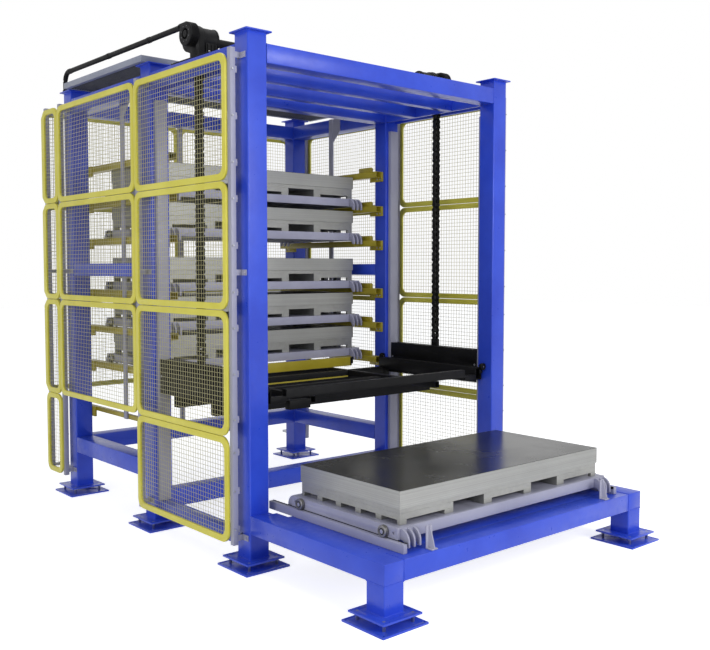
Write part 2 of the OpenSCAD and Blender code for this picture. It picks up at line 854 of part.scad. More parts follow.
module roof_frame() {
    color("lightsteelblue") site() translate([0, 0, cap_z]) linear_extrude(roof_h) difference() {
        translate([roof_x[0], roof_y[0]]) square([roof_l, roof_y[1] - roof_y[0]]);
        translate([roof_x[0] + roof_member, roof_y[0] + roof_member]) {
            square([roof_l - 2 * roof_member, roof_y[1] - roof_y[0] - 2 * roof_member]);
        }
    }
}

module roof_deck() {
    w = roof_l - 2 * roof_member;
    h = roof_y[1] - roof_y[0] - 2 * roof_member;
    nx = round(w / deck_pitch);
    ny = round(h / deck_pitch);
    color("dimgray") site() {
        translate([roof_x[0] + roof_member, roof_y[0] + roof_member, cap_z + deck_t]) linear_extrude(deck_t) {
            for (i = [0:nx]) translate([i * (w - deck_t) / nx, 0]) square([deck_t, h]);
            for (i = [0:ny]) translate([0, i * (h - deck_t) / ny]) square([w, deck_t]);
        }
    }
}

// Hoist

module hoist_gearmotors() {
    ribs = 4;
    rib_t = motor_l / (2 * ribs + 1);
    color("dimgray") site() both_sides() {
        difference() {
            union() {
                rod_x([gear_x0, case_x0], shaft_y, shaft_z, gear_r);
                box([gear_x0, case_x0], [shaft_y - gear_r, shaft_y + gear_r], [drive_top, shaft_z]);
            }
            rod_x([gear_x0 - over, case_x0 + over], shaft_y, shaft_z, shaft_end_d / 2 + fit);
        }
        rod_x([case_x1, case_x1 + motor_l], motor_y, motor_z, motor_r - rib_t / 2);
        for (i = [0:ribs]) {
            rod_x([case_x1 + 2 * i * rib_t, case_x1 + (2 * i + 1) * rib_t], motor_y, motor_z, motor_r);
        }
        box([case_x1 + motor_l / 4, case_x1 + 3 * motor_l / 4], [motor_y, motor_y + motor_r + conduit_d / 2],
            [conduit_z - conduit_d / 2 - case_wall, conduit_z + conduit_d / 2 + case_wall]);
    }
}

module drive_bases() {
    y = [drive_beams[0] - drive_beam_w / 2, drive_beams[1] + drive_beam_w / 2];
    slot = case_w / 2 - case_wall;
    color("dimgray") site() both_sides() difference() {
        box([gear_x0 - 2 * drive_plate_t, outer_x], y, [ring_top, drive_top]);
        box([column_x - slot, column_x + slot], [lift_chain_y - slot, lift_chain_y + slot],
            [ring_top - over, drive_top + over]);
    }
}

// Outline of a chain case in Y and Z
module case_outline(wall) {
    r = case_r - wall;
    translate([shaft_y, shaft_z]) circle(r);
    translate([shaft_y - r, drive_top - 2 * wall]) square([2 * r, shaft_z - drive_top + 2 * wall]);
}

module chain_cases() {
    color("dimgray") site() both_sides() difference() {
        slab_x([case_x0, case_x1]) case_outline(0);
        slab_x([case_x0 + case_wall, case_x1 - case_wall]) case_outline(case_wall);
        rod_x([case_x0 - over, column_x], shaft_y, shaft_z, shaft_end_d / 2 + fit);
    }
}

module cable_conduit() {
    x = case_x1 + motor_l / 2;
    y0 = motor_y + motor_r + conduit_d / 2;
    y1 = rear_y + conduit_bend / 2;
    r = conduit_d / 2;
    color("dimgray") site() translate([-x, 0, 0]) {
        difference() {
            rod_y(0, [y0, y1 - conduit_bend], conduit_z, r);
            rod_y(0, [y0 - over, y1 - conduit_bend + over], conduit_z, r - conduit_wall);
        }
        translate([0, y1 - conduit_bend, conduit_z - conduit_bend]) rotate([90, 0, 90]) {
            rotate_extrude(angle = 90) translate([conduit_bend, 0]) difference() {
                circle(r);
                circle(r - conduit_wall);
            }
        }
        translate([0, y1, cap_z]) linear_extrude(conduit_z - conduit_bend - cap_z) difference() {
            circle(r);
            circle(r - conduit_wall);
        }
    }
}

// One plate of a chain link, from a joint to the joint above it
module chain_plate(x) {
    r = chain_plate_h / 2;
    waist = 0.8 * r;
    slab_x([x, x + chain_plate_t]) {
        circle(r);
        translate([0, chain_pitch]) circle(r);
        translate([-waist, 0]) square([2 * waist, chain_pitch]);
    }
}

// A hanging strand: inner links and outer links take turns, with a roller at every joint but the last,
// whose pin goes through the carriage's lug
module hoist_chains() {
    inner = chain_gap / 2 + clear;
    outer = inner + chain_plate_t + clear;
    color("black") site() both_sides() translate([column_x, lift_chain_y, shaft_z]) {
        for (i = [1:chain_links]) translate([0, 0, -i * chain_pitch]) {
            x = i % 2 == 1 ? inner : outer;
            chain_plate(x);
            chain_plate(-x - chain_plate_t);
        }
        for (i = [0:chain_links - 1]) {
            rod_x([-chain_gap / 2, chain_gap / 2], 0, -i * chain_pitch, chain_roller_d / 2);
        }
        rod_x([-inner, inner], 0, -chain_links * chain_pitch, chain_pin_d / 2);
    }
}

// Toothed wheel whose gaps hold the chain rollers
module sprocket() {
    slab_x([-chain_gap / 2 + roller_gap, chain_gap / 2 - roller_gap]) difference() {
        circle(sprocket_r + chain_roller_d / 16);
        for (i = [0:sprocket_teeth - 1]) rotate(180 + i * 360 / sprocket_teeth) {
            translate([sprocket_r, 0]) circle(chain_roller_d / 2 + clear);
        }
    }
}

module hoist_shaft() {
    color("dimgray") site() {
        rod_x([-gear_x0 + 2 * clear, gear_x0 - 2 * clear], shaft_y, shaft_z, shaft_d / 2);
        both_sides() {
            rod_x([gear_x0 - over, column_x + chain_gap / 2], shaft_y, shaft_z, shaft_end_d / 2);
            translate([column_x, shaft_y, shaft_z]) sprocket();
        }
    }
}

// Carriage, drawn around the running height

module carriage_side_beams() {
    core_y = [side_y0 + roller_pocket, side_y1 - roller_pocket];
    z = [rest_z - side_down, rest_z + side_up];
    color("black") site() both_sides() {
        difference() {
            union() {
                for (x = [[side_x0, side_x0 + cheek_t], [side_x1 - cheek_t, side_x1]]) {
                    box(x, [side_y0, side_y1], z);
                }
                beam_y([side_x0 + cheek_t, side_x1 - cheek_t], core_y, z, beam_wall);
            }
            for (y = [front_roller_y, rear_roller_y]) {
                rod_x([side_x0 - over, side_x1 + over], y, roller_z, rail_pin_d / 2 + fit);
            }
        }
        difference() {
            box([column_x - chain_gap / 2, column_x + chain_gap / 2],
                [lift_chain_y - lug_w / 2, lift_chain_y + lug_w / 2], [z[1], chain_end_z + lug_edge]);
            rod_x([side_x0, side_x1], lift_chain_y, chain_end_z, chain_pin_d / 2 + fit);
        }
    }
}

// Running rails of the carriage, with a plate at each end for a side roller
module carriage_rails() {
    z = [rest_z - carriage_rail_h, rest_z];
    plate_x = [side_roller_x - side_pin_d - side_plate_t, side_roller_x + side_pin_d];
    color("black") site() both_sides() difference() {
        union() {
            beam_y([rail_in, rail_out], [carriage_y0, carriage_y1], z, beam_wall);
            for (y = [[carriage_y0 - side_plate_t, carriage_y0], [carriage_y1, carriage_y1 + side_plate_t]]) {
                box(plate_x, y, [rest_z - carriage_rail_h / 2, roller_z + side_pin_d + side_plate_t]);
            }
        }
        rod_y(side_roller_x, [carriage_y0 - side_plate_t - over, carriage_y1 + side_plate_t + over],
            roller_z, side_pin_d / 2 + fit);
    }
}

module carriage_cross_beams() {
    half = comb_x0 - over;
    front_z = rest_z - front_beam_drop - front_beam_h;
    under_z = [rest_z + under_beam_top - under_beam_h, rest_z + under_beam_top];
    color("black") site() {
        both_sides() box([half, rail_in], [carriage_y0, front_beam_y1],
            [rest_z - carriage_rail_h, rest_z - hook_notch]);
        box([-half, half], [carriage_y0, front_beam_y1], [front_z, rest_z - front_beam_drop]);
        for (y = [lift_tray_y, carriage_y1 - under_beam_w / 2]) {
            box([-rail_out, rail_out], [y - under_beam_w / 2, y + under_beam_w / 2], under_z);
            both_sides() box([rail_in, rail_out], [y - under_beam_w / 2, y + under_beam_w / 2],
                [under_z[0], rest_z - carriage_rail_h]);
        }
        both_sides() box([rail_out, side_x0], [side_y0, side_y1],
            [rest_z - carriage_rail_h, rest_z - carriage_rail_h / 4]);
    }
}

// Side rollers turn about Y and run on the columns' inner faces
side_roller_x = inner_x - clear - side_roller_d / 2;

module side_rollers(side) {
    z = roller_z;
    x = side * side_roller_x;
    front = carriage_y0 - side_plate_t - roller_gap;
    back = carriage_y1 + side_plate_t + roller_gap;
    color("dimgray") site() {
        rod_y(x, [front - side_roller_w, front], z, side_roller_d / 2);
        rod_y(x, [front - over, carriage_y0], z, side_pin_d / 2);
        rod_y(x, [back, back + side_roller_w], z, side_roller_d / 2);
        rod_y(x, [carriage_y1, back + over], z, side_pin_d / 2);
    }
}

module left_side_rollers() side_rollers(-1);
module right_side_rollers() side_rollers(1);

// Rail rollers turn about X between a side beam's cheeks and run on the guide rails
module rail_rollers(y) {
    side = cheek_t + roller_gap;
    color("dimgray") site() both_sides() {
        rod_x([side_x0 + side, side_x1 - side], y, roller_z, rail_roller_d / 2);
        rod_x([side_x0, side_x1], y, roller_z, rail_pin_d / 2);
    }
}

module front_rail_rollers() rail_rollers(front_roller_y);
module rear_rail_rollers() rail_rollers(rear_roller_y);

// Guides and gearmotor of the transfer beam
module transfer_drive() {
    z = [rest_z + transfer_guide_top - transfer_guide_h, rest_z + transfer_guide_top];
    half = transfer_guide_w / 2;
    inner = transfer_guide_x - half;
    outer = transfer_guide_x + half;
    bar_y = lift_tray_y + under_beam_w;
    color("black") site() {
        both_sides() beam_y([transfer_guide_x - half, transfer_guide_x + half],
            [front_beam_y1, transfer_y1], z, beam_wall);
        box([-outer - transfer_motor_l, -outer], [front_beam_y1, front_beam_y1 + transfer_motor_w],
            [z[0] - transfer_motor_drop, z[1] - bar_drop]);
        beam_x([-inner, inner], [bar_y, bar_y + transfer_guide_w], [z[0], z[1] - bar_drop], beam_wall);
        for (x = [[-rail_in, -outer], [-inner, inner], [outer, rail_in]]) {
            box(x, [carriage_y1 - under_beam_w, carriage_y1], z);
        }
    }
}

module transfer_beam() {
    z = [rest_z + transfer_bottom, rest_z - transfer_drop];
    color("goldenrod") site() {
        beam_x([-transfer_l / 2 + dog_l, transfer_l / 2 - dog_l], [transfer_y0, transfer_y1], z, beam_wall);
        both_sides() box([transfer_l / 2 - dog_l, transfer_l / 2], [transfer_y0, transfer_y1],
            [z[0] + dog_l, z[1]]);
    }
}

// Trays, drawn about their own centre and running height

// Side of a curved tine: a quarter disc over a straight tip, hollowed by a smaller circle
module tine_outline() {
    shoulder = tray_top - over - hook_reach;
    hollow = hook_reach - tine_tip;
    difference() {
        union() {
            intersection() {
                translate([0, shoulder]) circle(hook_reach);
                translate([-hook_reach, shoulder]) square([hook_reach, hook_reach]);
            }
            translate([-hook_reach, -hook_drop]) square([hook_reach, shoulder + hook_drop]);
        }
        translate([0, tray_bottom + over - hollow]) circle(hollow);
    }
}

module tray_hook() {
    translate([0, -tray_half_w - clear, 0]) {
        for (i = [0:2]) slab_x([comb_x0 + i * tine_pitch, comb_x0 + i * tine_pitch + tine_t]) tine_outline();
        box([comb_x0, comb_x1], [-tine_t, 0], [tray_bottom + over, tray_top - over]);
    }
}

module tray_frame() {
    x = tray_l / 2;
    z = [tray_bottom, tray_top];
    sling_y = tray_half_w - sling_inset;
    color("lightsteelblue") {
        for (y = [[-tray_half_w, -tray_half_w + tray_member], [tray_half_w - tray_member, tray_half_w]]) {
            box([tray_member - x, x - tray_member], y, z);
        }
        both_sides() difference() {
            box([x - tray_member, x], [-tray_half_w, tray_half_w], z);
            for (y = [-sling_y, sling_y]) rod_x([x - sling_d, x + over], y, (z[0] + z[1]) / 2, sling_d / 2);
        }
        for (i = [1:tray_bars]) {
            u = -x + tray_member / 2 + i * (tray_l - tray_member) / (tray_bars + 1);
            box([u - tray_bar_w / 2, u + tray_bar_w / 2], [-tray_half_w, tray_half_w], z);
        }
        both_sides() for (y = [-wheelbase / 2, wheelbase / 2]) {
            rod_x([x - over, wheel_x0 + wheel_w], y, wheel_d / 2 + clear, axle_d / 2);
        }
        both_sides() {
            tray_hook();
            mirror([0, 1, 0]) tray_hook();
        }
    }
}

// Skid made of a deck, spacers between the fork pockets and runners between the slots, and the sheets
module tray_load() {
    x = load_l / 2 - skid_inset;
    y = [-load_w / 2 + skid_inset, load_w / 2 - skid_inset];
    spacer_top = tray_top + pocket_h;
    runner_top = tray_top + slot_h;
    slot = [x - skid_end - slot_w, x - skid_end];
    pocket = [slot_w / 2 + skid_foot, slot[0] - skid_foot];
    side_step = (y[1] - y[0]) / side_slots;
    side_slot_w = side_step - side_foot;
    color("silver") {
        box([-x, x], y, [spacer_top, skid_top]);
        box([-pocket[0], pocket[0]], y, [runner_top, spacer_top - clear]);
        box([-pocket[0], -slot_w / 2], y, [tray_top, runner_top - clear]);
        box([slot_w / 2, pocket[0]], y, [tray_top, runner_top - clear]);
        both_sides() {
            box([pocket[1], x], y, [runner_top, spacer_top - clear]);
            box([pocket[1], slot[0]], y, [tray_top, runner_top - clear]);
            difference() {
                box([slot[1], x], y, [tray_top, runner_top - clear]);
                for (i = [0:side_slots - 1]) {
                    v = y[0] + (i + 0.5) * side_step;
                    box([slot[1] - over, x + over], [v - side_slot_w / 2, v + side_slot_w / 2],
                        [tray_top - over, runner_top - clear - slot_h / 4]);
                }
            }
        }
    }
    color("dimgray") {
        box([-load_l / 2, load_l / 2], [-load_w / 2, load_w / 2], [skid_top + clear, skid_top + stack_h]);
    }
}

module tray_wheels(end) {
    color("gray") both_sides() difference() {
        rod_x([wheel_x0, wheel_x0 + wheel_w], end * wheelbase / 2, wheel_d / 2 + clear, wheel_d / 2);
        rod_x([wheel_x0 - over, wheel_x0 + wheel_w + over], end * wheelbase / 2, wheel_d / 2 + clear,
            axle_d / 2 + fit);
    }
}

// Puts a tray piece on a shelf, counted from the top tray, or on the table
module on_shelf(i) site() translate([0, shelf_tray_y, levels[i]]) children();
module on_table() site() translate([0, table_tray_y, table_run_z]) children();

columns();
column_caps();
base_plates();
foot_plates();
jack_screws();
side_beams();
cross_beams();
front_lintel();
guide_rails();
shelf_brackets();
shelf_rails();
rail_blocks();
hanging_uprights();
table_rails();
table_stops();
fence_posts();
fence_clamps();
fence_frames();
fence_mesh();
roof_frame();
roof_deck();
hoist_gearmotors();
drive_bases();
chain_cases();
cable_conduit();
hoist_chains();
hoist_shaft();
carriage_side_beams();
carriage_rails();
carriage_cross_beams();
transfer_drive();
transfer_beam();
left_side_rollers();
right_side_rollers();
front_rail_rollers();
rear_rail_rollers();
on_shelf(1) tray_frame();  // tray_1_frame
on_shelf(1) tray_load();  // tray_1_load
on_shelf(1) tray_wheels(-1);  // tray_1_front_wheels
on_shelf(1) tray_wheels(1);  // tray_1_rear_wheels
on_shelf(2) tray_frame();  // tray_2_frame
on_shelf(2) tray_load();  // tray_2_load
on_shelf(2) tray_wheels(-1);  // tray_2_front_wheels
on_shelf(2) tray_wheels(1);  // tray_2_rear_wheels
on_shelf(3) tray_frame();  // tray_3_frame
on_shelf(3) tray_load();  // tray_3_load
on_shelf(3) tray_wheels(-1);  // tray_3_front_wheels
on_shelf(3) tray_wheels(1);  // tray_3_rear_wheels
on_shelf(4) tray_frame();  // tray_4_frame
on_shelf(4) tray_load();  // tray_4_load
on_shelf(4) tray_wheels(-1);  // tray_4_front_wheels
on_shelf(4) tray_wheels(1);  // tray_4_rear_wheels
on_shelf(5) tray_frame();  // tray_5_frame
on_shelf(5) tray_load();  // tray_5_load
on_shelf(5) tray_wheels(-1);  // tray_5_front_wheels
on_shelf(5) tray_wheels(1);  // tray_5_rear_wheels
on_table() tray_frame();  // table_tray_frame
on_table() tray_load();  // table_tray_load
on_table() tray_wheels(-1);  // table_tray_front_wheels
on_table() tray_wheels(1);  // table_tray_rear_wheels
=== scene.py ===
import math
import random

import bmesh
import bpy
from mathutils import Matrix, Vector


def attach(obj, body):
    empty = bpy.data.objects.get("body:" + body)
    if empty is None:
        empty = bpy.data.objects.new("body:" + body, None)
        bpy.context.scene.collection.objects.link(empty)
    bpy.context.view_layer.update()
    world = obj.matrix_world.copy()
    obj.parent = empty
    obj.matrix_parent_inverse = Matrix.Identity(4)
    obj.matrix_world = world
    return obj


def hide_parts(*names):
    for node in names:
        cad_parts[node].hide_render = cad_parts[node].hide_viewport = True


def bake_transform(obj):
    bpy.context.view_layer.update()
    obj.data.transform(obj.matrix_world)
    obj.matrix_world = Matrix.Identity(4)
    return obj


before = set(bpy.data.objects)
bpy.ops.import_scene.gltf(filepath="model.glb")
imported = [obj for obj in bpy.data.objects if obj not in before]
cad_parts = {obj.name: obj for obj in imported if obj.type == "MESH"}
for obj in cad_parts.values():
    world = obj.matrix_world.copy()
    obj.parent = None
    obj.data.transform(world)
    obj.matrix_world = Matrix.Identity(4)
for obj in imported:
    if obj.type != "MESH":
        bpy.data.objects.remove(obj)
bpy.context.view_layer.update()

# Main places of the object, in millimetres. Y is counted from the front columns here, and place() turns
# such a point into the frame's metres.
Y_SHIFT = 1230.0
COLUMN_X = 1900
COLUMN_HALF = 120
INNER_X = COLUMN_X - COLUMN_HALF
OUTER_X = COLUMN_X + COLUMN_HALF
FRONT_Y, MIDDLE_Y, REAR_Y, LEG_Y = 0, 2030, 4250, -2045
PLATE_TOP_Z, TABLE_TOP_Z = 109, 575
TOP_BEAM_Z = (5255, 5450)
COLUMN_TOP_Z, ROOF_Z = 5554, 5570

# Trays: where their wheels run on the shelves and on the table. The top level has no tray.
LEVELS = [4550, 4050, 3550, 2850, 2350, 1850]
TABLE_RUN_Z = 660
SHELF_TRAY_Y, TABLE_TRAY_Y = 3140, -1130
TRAYS = [("tray_%d" % i, SHELF_TRAY_Y, LEVELS[i]) for i in range(1, 6)]
TRAYS += [("table_tray", TABLE_TRAY_Y, TABLE_RUN_Z)]

# Fence: its outer faces, its posts, and the edges of the frames' rows and columns
FENCE_X, FENCE_REAR_Y = 2185, 4780
POST_IN_X, POST_MID_X = 2095, 2137
FRONT_POST_Y, LAST_POST_Y = 20, 4720
FRAME_ROWS = [271, 1397, 2716, 4046, 5348]
FRAME_COLUMNS = [44, 2030, 4250, 4750]
CLAMP_Z = (331, 3105, 5315)
CLIP_Z = [low + share * (high - low) for low, high in zip(FRAME_ROWS, FRAME_ROWS[1:])
          for share in (0.14, 0.5, 0.86)]

# Hoist: its shaft, the case, gear unit and motor at each end of it, the chains, and the conduit
SHAFT_Y, SHAFT_Z = 1126.4, 5708
CASE_X = (1843.3, 1956.7)
BASE_Z, GEAR_FOOT_Z = 5465, 5487
GEAR_COVER_X, MOTOR_END_X = 1630, 2067
MOTOR_Y, MOTOR_Z = 1020, 5722
MOTOR_BOX_Y = (1068, 1186)
CHAIN_Y, CHAIN_PITCH = 1015, 76.2
CONDUIT_X, CONDUIT_Z = 2014.2, 5828

# Height of the carriage's roller axles
AXLE_Z = 1860


def place(x, y, z):
    """A point given in millimetres, in the frame's metres."""
    return Vector((x / 1000, (y - Y_SHIFT) / 1000, z / 1000))


def along(axis, p, q, t):
    """The point t along axis, with p and q on the two other axes in X, Y, Z order."""
    x, y, z = {"X": (t, p, q), "Y": (p, t, q), "Z": (p, q, t)}[axis]
    return place(x, y, z)


def span(side, near, far):
    """An X span from near to far of the middle on one side, low value first."""
    return (near, far) if side > 0 else (-far, -near)


def arc(cx, cy, r, start, end, n):
    """Points of an arc, with its angles in degrees."""
    turns = [math.radians(start + (end - start) * i / n) for i in range(n + 1)]
    return [(cx + r * math.cos(w), cy + r * math.sin(w)) for w in turns]


def camera():
    """The photograph's viewpoint, solved from the tower's straight edges."""
    data = bpy.data.cameras.new("camera")
    cam = bpy.data.objects.new("camera", data)
    bpy.context.scene.collection.objects.link(cam)
    tilt_down, turn_right = 0.0575, math.radians(40.58)
    cam.location = (-7.282, -9.055, 3.155)
    cam.rotation_euler = (math.pi / 2 - tilt_down, 0, -turn_right)
    data.sensor_fit = "HORIZONTAL"
    data.sensor_width = 36
    data.lens = 45.92
    data.shift_x = 0.0097
    data.shift_y = -0.0074
    data.clip_end = 200
    bpy.context.scene.camera = cam
    bpy.context.scene.view_settings.view_transform = "Standard"


camera()


# Materials
class Nodes:
    """Small helper that wires one material."""

    def __init__(self, name):
        self.mat = bpy.data.materials.new(name)
        self.mat.use_nodes = True
        self.tree = self.mat.node_tree
        self.bsdf = self.tree.nodes["Principled BSDF"]
        self.coord = self.tree.nodes.new("ShaderNodeTexCoord").outputs["Object"]

    def new(self, kind, **values):
        node = self.tree.nodes.new(kind)
        for k, v in values.items():
            setattr(node, k, v)
        return node

    def link(self, a, b):
        self.tree.links.new(a, b)

    def set(self, **values):
        """Sets the shader's own sockets; an underscore in a name stands for a space."""
        for k, v in values.items():
            self.bsdf.inputs[k.replace("_", " ")].default_value = v

    def drive(self, socket, value):
        """Links a value or colour to a socket of the shader."""
        self.link(value, self.bsdf.inputs[socket])

    def noise(self, scale, detail=4, rough=0.55, stretch=None):
        n = self.new("ShaderNodeTexNoise")
        n.inputs["Scale"].default_value = scale
        n.inputs["Detail"].default_value = detail
        n.inputs["Roughness"].default_value = rough
        source = self.coord
        if stretch:
            m = self.new("ShaderNodeMapping")
            m.inputs["Scale"].default_value = stretch
            self.link(self.coord, m.inputs["Vector"])
            source = m.outputs["Vector"]
        self.link(source, n.inputs["Vector"])
        return n.outputs["Fac"]

    def ramp(self, fac, low, high, a=0.0, b=1.0):
        """Maps fac from low..high to a..b, and clamps it."""
        m = self.new("ShaderNodeMapRange")
        m.inputs["From Min"].default_value = low
        m.inputs["From Max"].default_value = high
        m.inputs["To Min"].default_value = a
        m.inputs["To Max"].default_value = b
        self.link(fac, m.inputs["Value"])
        return m.outputs["Result"]

    def mix(self, fac, a, b):
        m = self.new("ShaderNodeMix", data_type="RGBA")
        self.link(fac, m.inputs["Factor"])
        for slot, value in (("A", a), ("B", b)):
            socket = [s for s in m.inputs if s.name == slot and s.type == "RGBA"][0]
            if isinstance(value, tuple):
                socket.default_value = (*value, 1)
            else:
                self.link(value, socket)
        return [s for s in m.outputs if s.type == "RGBA"][0]

    def times(self, a, b):
        m = self.new("ShaderNodeMath", operation="MULTIPLY")
        self.link(a, m.inputs[0])
        if isinstance(b, float):
            m.inputs[1].default_value = b
        else:
            self.link(b, m.inputs[1])
        return m.outputs[0]

    def bump(self, height, strength, distance, under=None):
        b = self.new("ShaderNodeBump")
        b.inputs["Strength"].default_value = strength
        b.inputs["Distance"].default_value = distance
        self.link(height, b.inputs["Height"])
        if under:
            self.link(under, b.inputs["Normal"])
        return b.outputs["Normal"]

    def upward(self):
        """1 on faces that look up, 0 elsewhere."""
        g = self.new("ShaderNodeNewGeometry")
        s = self.new("ShaderNodeSeparateXYZ")
        self.link(g.outputs["Normal"], s.inputs[0])
        return self.ramp(s.outputs["Z"], 0.6, 1.0)


def paint(name, colour, tint, rough, coat=0.0, dust=(0.5, 0.5, 0.5), dusty=0.12, peel=0.12, spec=0.4):
    """Sprayed paint: cloudy tint, orange peel, light dust on top faces, thin scuffs."""
    m = Nodes(name)
    cloud = m.ramp(m.noise(1.7, 5), 0.35, 0.65)
    base = m.mix(cloud, colour, tint)
    scuff = m.ramp(m.noise(9, 8, 0.7, (1, 1, 0.25)), 0.66, 0.78, 0, 0.22)
    base = m.mix(scuff, base, tuple(min(1, c * 1.5 + 0.03) for c in tint))
    film = m.times(m.upward(), m.ramp(m.noise(5, 6), 0.3, 0.75, 0.2 * dusty, dusty))
    m.drive("Base Color", m.mix(film, base, dust))
    m.drive("Roughness", m.ramp(m.noise(14, 5), 0.3, 0.7, rough - 0.07, rough + 0.09))
    waves = m.bump(m.noise(3, 3), 0.10, 0.01)
    m.drive("Normal", m.bump(m.noise(170, 2), peel, 0.0012, waves))
    m.set(Specular_IOR_Level=spec, Coat_Weight=coat, Coat_Roughness=0.18)
    return m.mat


def steel(name, colour, dark, rough, grain, metallic=0.9, stain=0.25):
    """Bare or plated steel with drawn grain and faint stains."""
    m = Nodes(name)
    lines = m.noise(30, 6, 0.6, grain)
    spots = m.ramp(m.noise(6, 6, 0.65), 0.45, 0.75, 0, stain)
    base = m.mix(m.ramp(lines, 0.3, 0.7), colour, tuple(c * 0.86 for c in colour))
    m.drive("Base Color", m.mix(spots, base, dark))
    m.drive("Roughness", m.ramp(lines, 0.3, 0.7, rough - 0.06, rough + 0.1))
    m.drive("Normal", m.bump(lines, 0.12, 0.0015))
    m.set(Metallic=metallic)
    return m.mat


def sheet_edge(name):
    """The side of a pack of sheets: fine level lines, each sheet a little lighter or darker."""
    m = Nodes(name)
    sheets = m.noise(1, 2, 0.5, (0.15, 0.15, 260))
    patches = m.noise(1.2, 4)
    base = m.mix(m.ramp(sheets, 0.3, 0.7), (0.29, 0.29, 0.275), (0.42, 0.42, 0.40))
    base = m.mix(m.ramp(patches, 0.35, 0.7, 0, 0.35), base, (0.22, 0.225, 0.215))
    m.drive("Base Color", base)
    m.drive("Roughness", m.ramp(m.noise(8, 4), 0.3, 0.7, 0.36, 0.48))
    m.drive("Normal", m.bump(sheets, 0.10, 0.001))
    m.set(Metallic=0.5)
    return m.mat


def sheet_top(name):
    """The uppermost sheet: dark mill skin with a rolled grain and faint oil marks."""
    m = Nodes(name)
    roll = m.noise(3, 6, 0.6, (0.5, 7, 1))
    oil = m.ramp(m.noise(1.3, 5, 0.6), 0.4, 0.7)
    base = m.mix(m.ramp(roll, 0.3, 0.7), (0.012, 0.012, 0.012), (0.028, 0.028, 0.026))
    m.drive("Base Color", m.mix(m.times(oil, 0.5), base, (0.05, 0.05, 0.046)))
    m.drive("Roughness", m.ramp(oil, 0, 1, 0.22, 0.32))
    m.drive("Normal", m.bump(roll, 0.06, 0.002))
    m.set(Metallic=0.2, Specular_IOR_Level=0.3)
    return m.mat


BLUE = paint("blue_paint", (0.019, 0.058, 0.57), (0.029, 0.082, 0.68), 0.34,
             coat=0.10, dust=(0.13, 0.20, 0.62), dusty=0.10)
PALE = paint("fence_yellow_paint", (0.70, 0.63, 0.060), (0.80, 0.73, 0.105), 0.42,
             coat=0.08, dust=(0.78, 0.75, 0.50))
OCHRE = paint("rack_yellow_paint", (0.36, 0.29, 0.016), (0.44, 0.36, 0.03), 0.42,
              coat=0.14, dust=(0.5, 0.48, 0.3))
GREY = paint("light_grey_paint", (0.33, 0.33, 0.43), (0.39, 0.39, 0.49), 0.46,
             coat=0.08, dust=(0.5, 0.5, 0.55))
BLACK = paint("black_paint", (0.0035, 0.0035, 0.004), (0.008, 0.008, 0.009), 0.50,
              dust=(0.04, 0.04, 0.04), dusty=0.15, spec=0.12)
ROOF = paint("roof_grey_paint", (0.27, 0.29, 0.37), (0.33, 0.35, 0.43), 0.50,
             coat=0.05, dust=(0.5, 0.5, 0.52))
WIRE = paint("mesh_wire_coating", (0.50, 0.46, 0.22), (0.56, 0.52, 0.28), 0.48,
             dust=(0.5, 0.5, 0.4), dusty=0.05, peel=0.05)
GRATE = steel("roof_grating_steel", (0.10, 0.105, 0.13), (0.04, 0.04, 0.05), 0.5,
              grain=(1, 18, 1), metallic=0.4)
ZINC = steel("zinc_plated_steel", (0.42, 0.43, 0.46), (0.25, 0.26, 0.28), 0.36, grain=(1, 1, 14))
TURNED = steel("turned_steel", (0.27, 0.265, 0.26), (0.10, 0.095, 0.09), 0.34,
               grain=(22, 1, 1), stain=0.4)
CHAIN = paint("oiled_chain_steel", (0.004, 0.004, 0.004), (0.008, 0.008, 0.008), 0.42,
              dust=(0.02, 0.02, 0.02), dusty=0.2, peel=0.05, spec=0.2)
EDGE = sheet_edge("sheet_pack_edge")
TOP = sheet_top("top_sheet_skin")
SKID = steel("skid_steel", (0.36, 0.36, 0.34), (0.18, 0.18, 0.17), 0.40,
             grain=(1, 1, 12), metallic=0.5, stain=0.35)


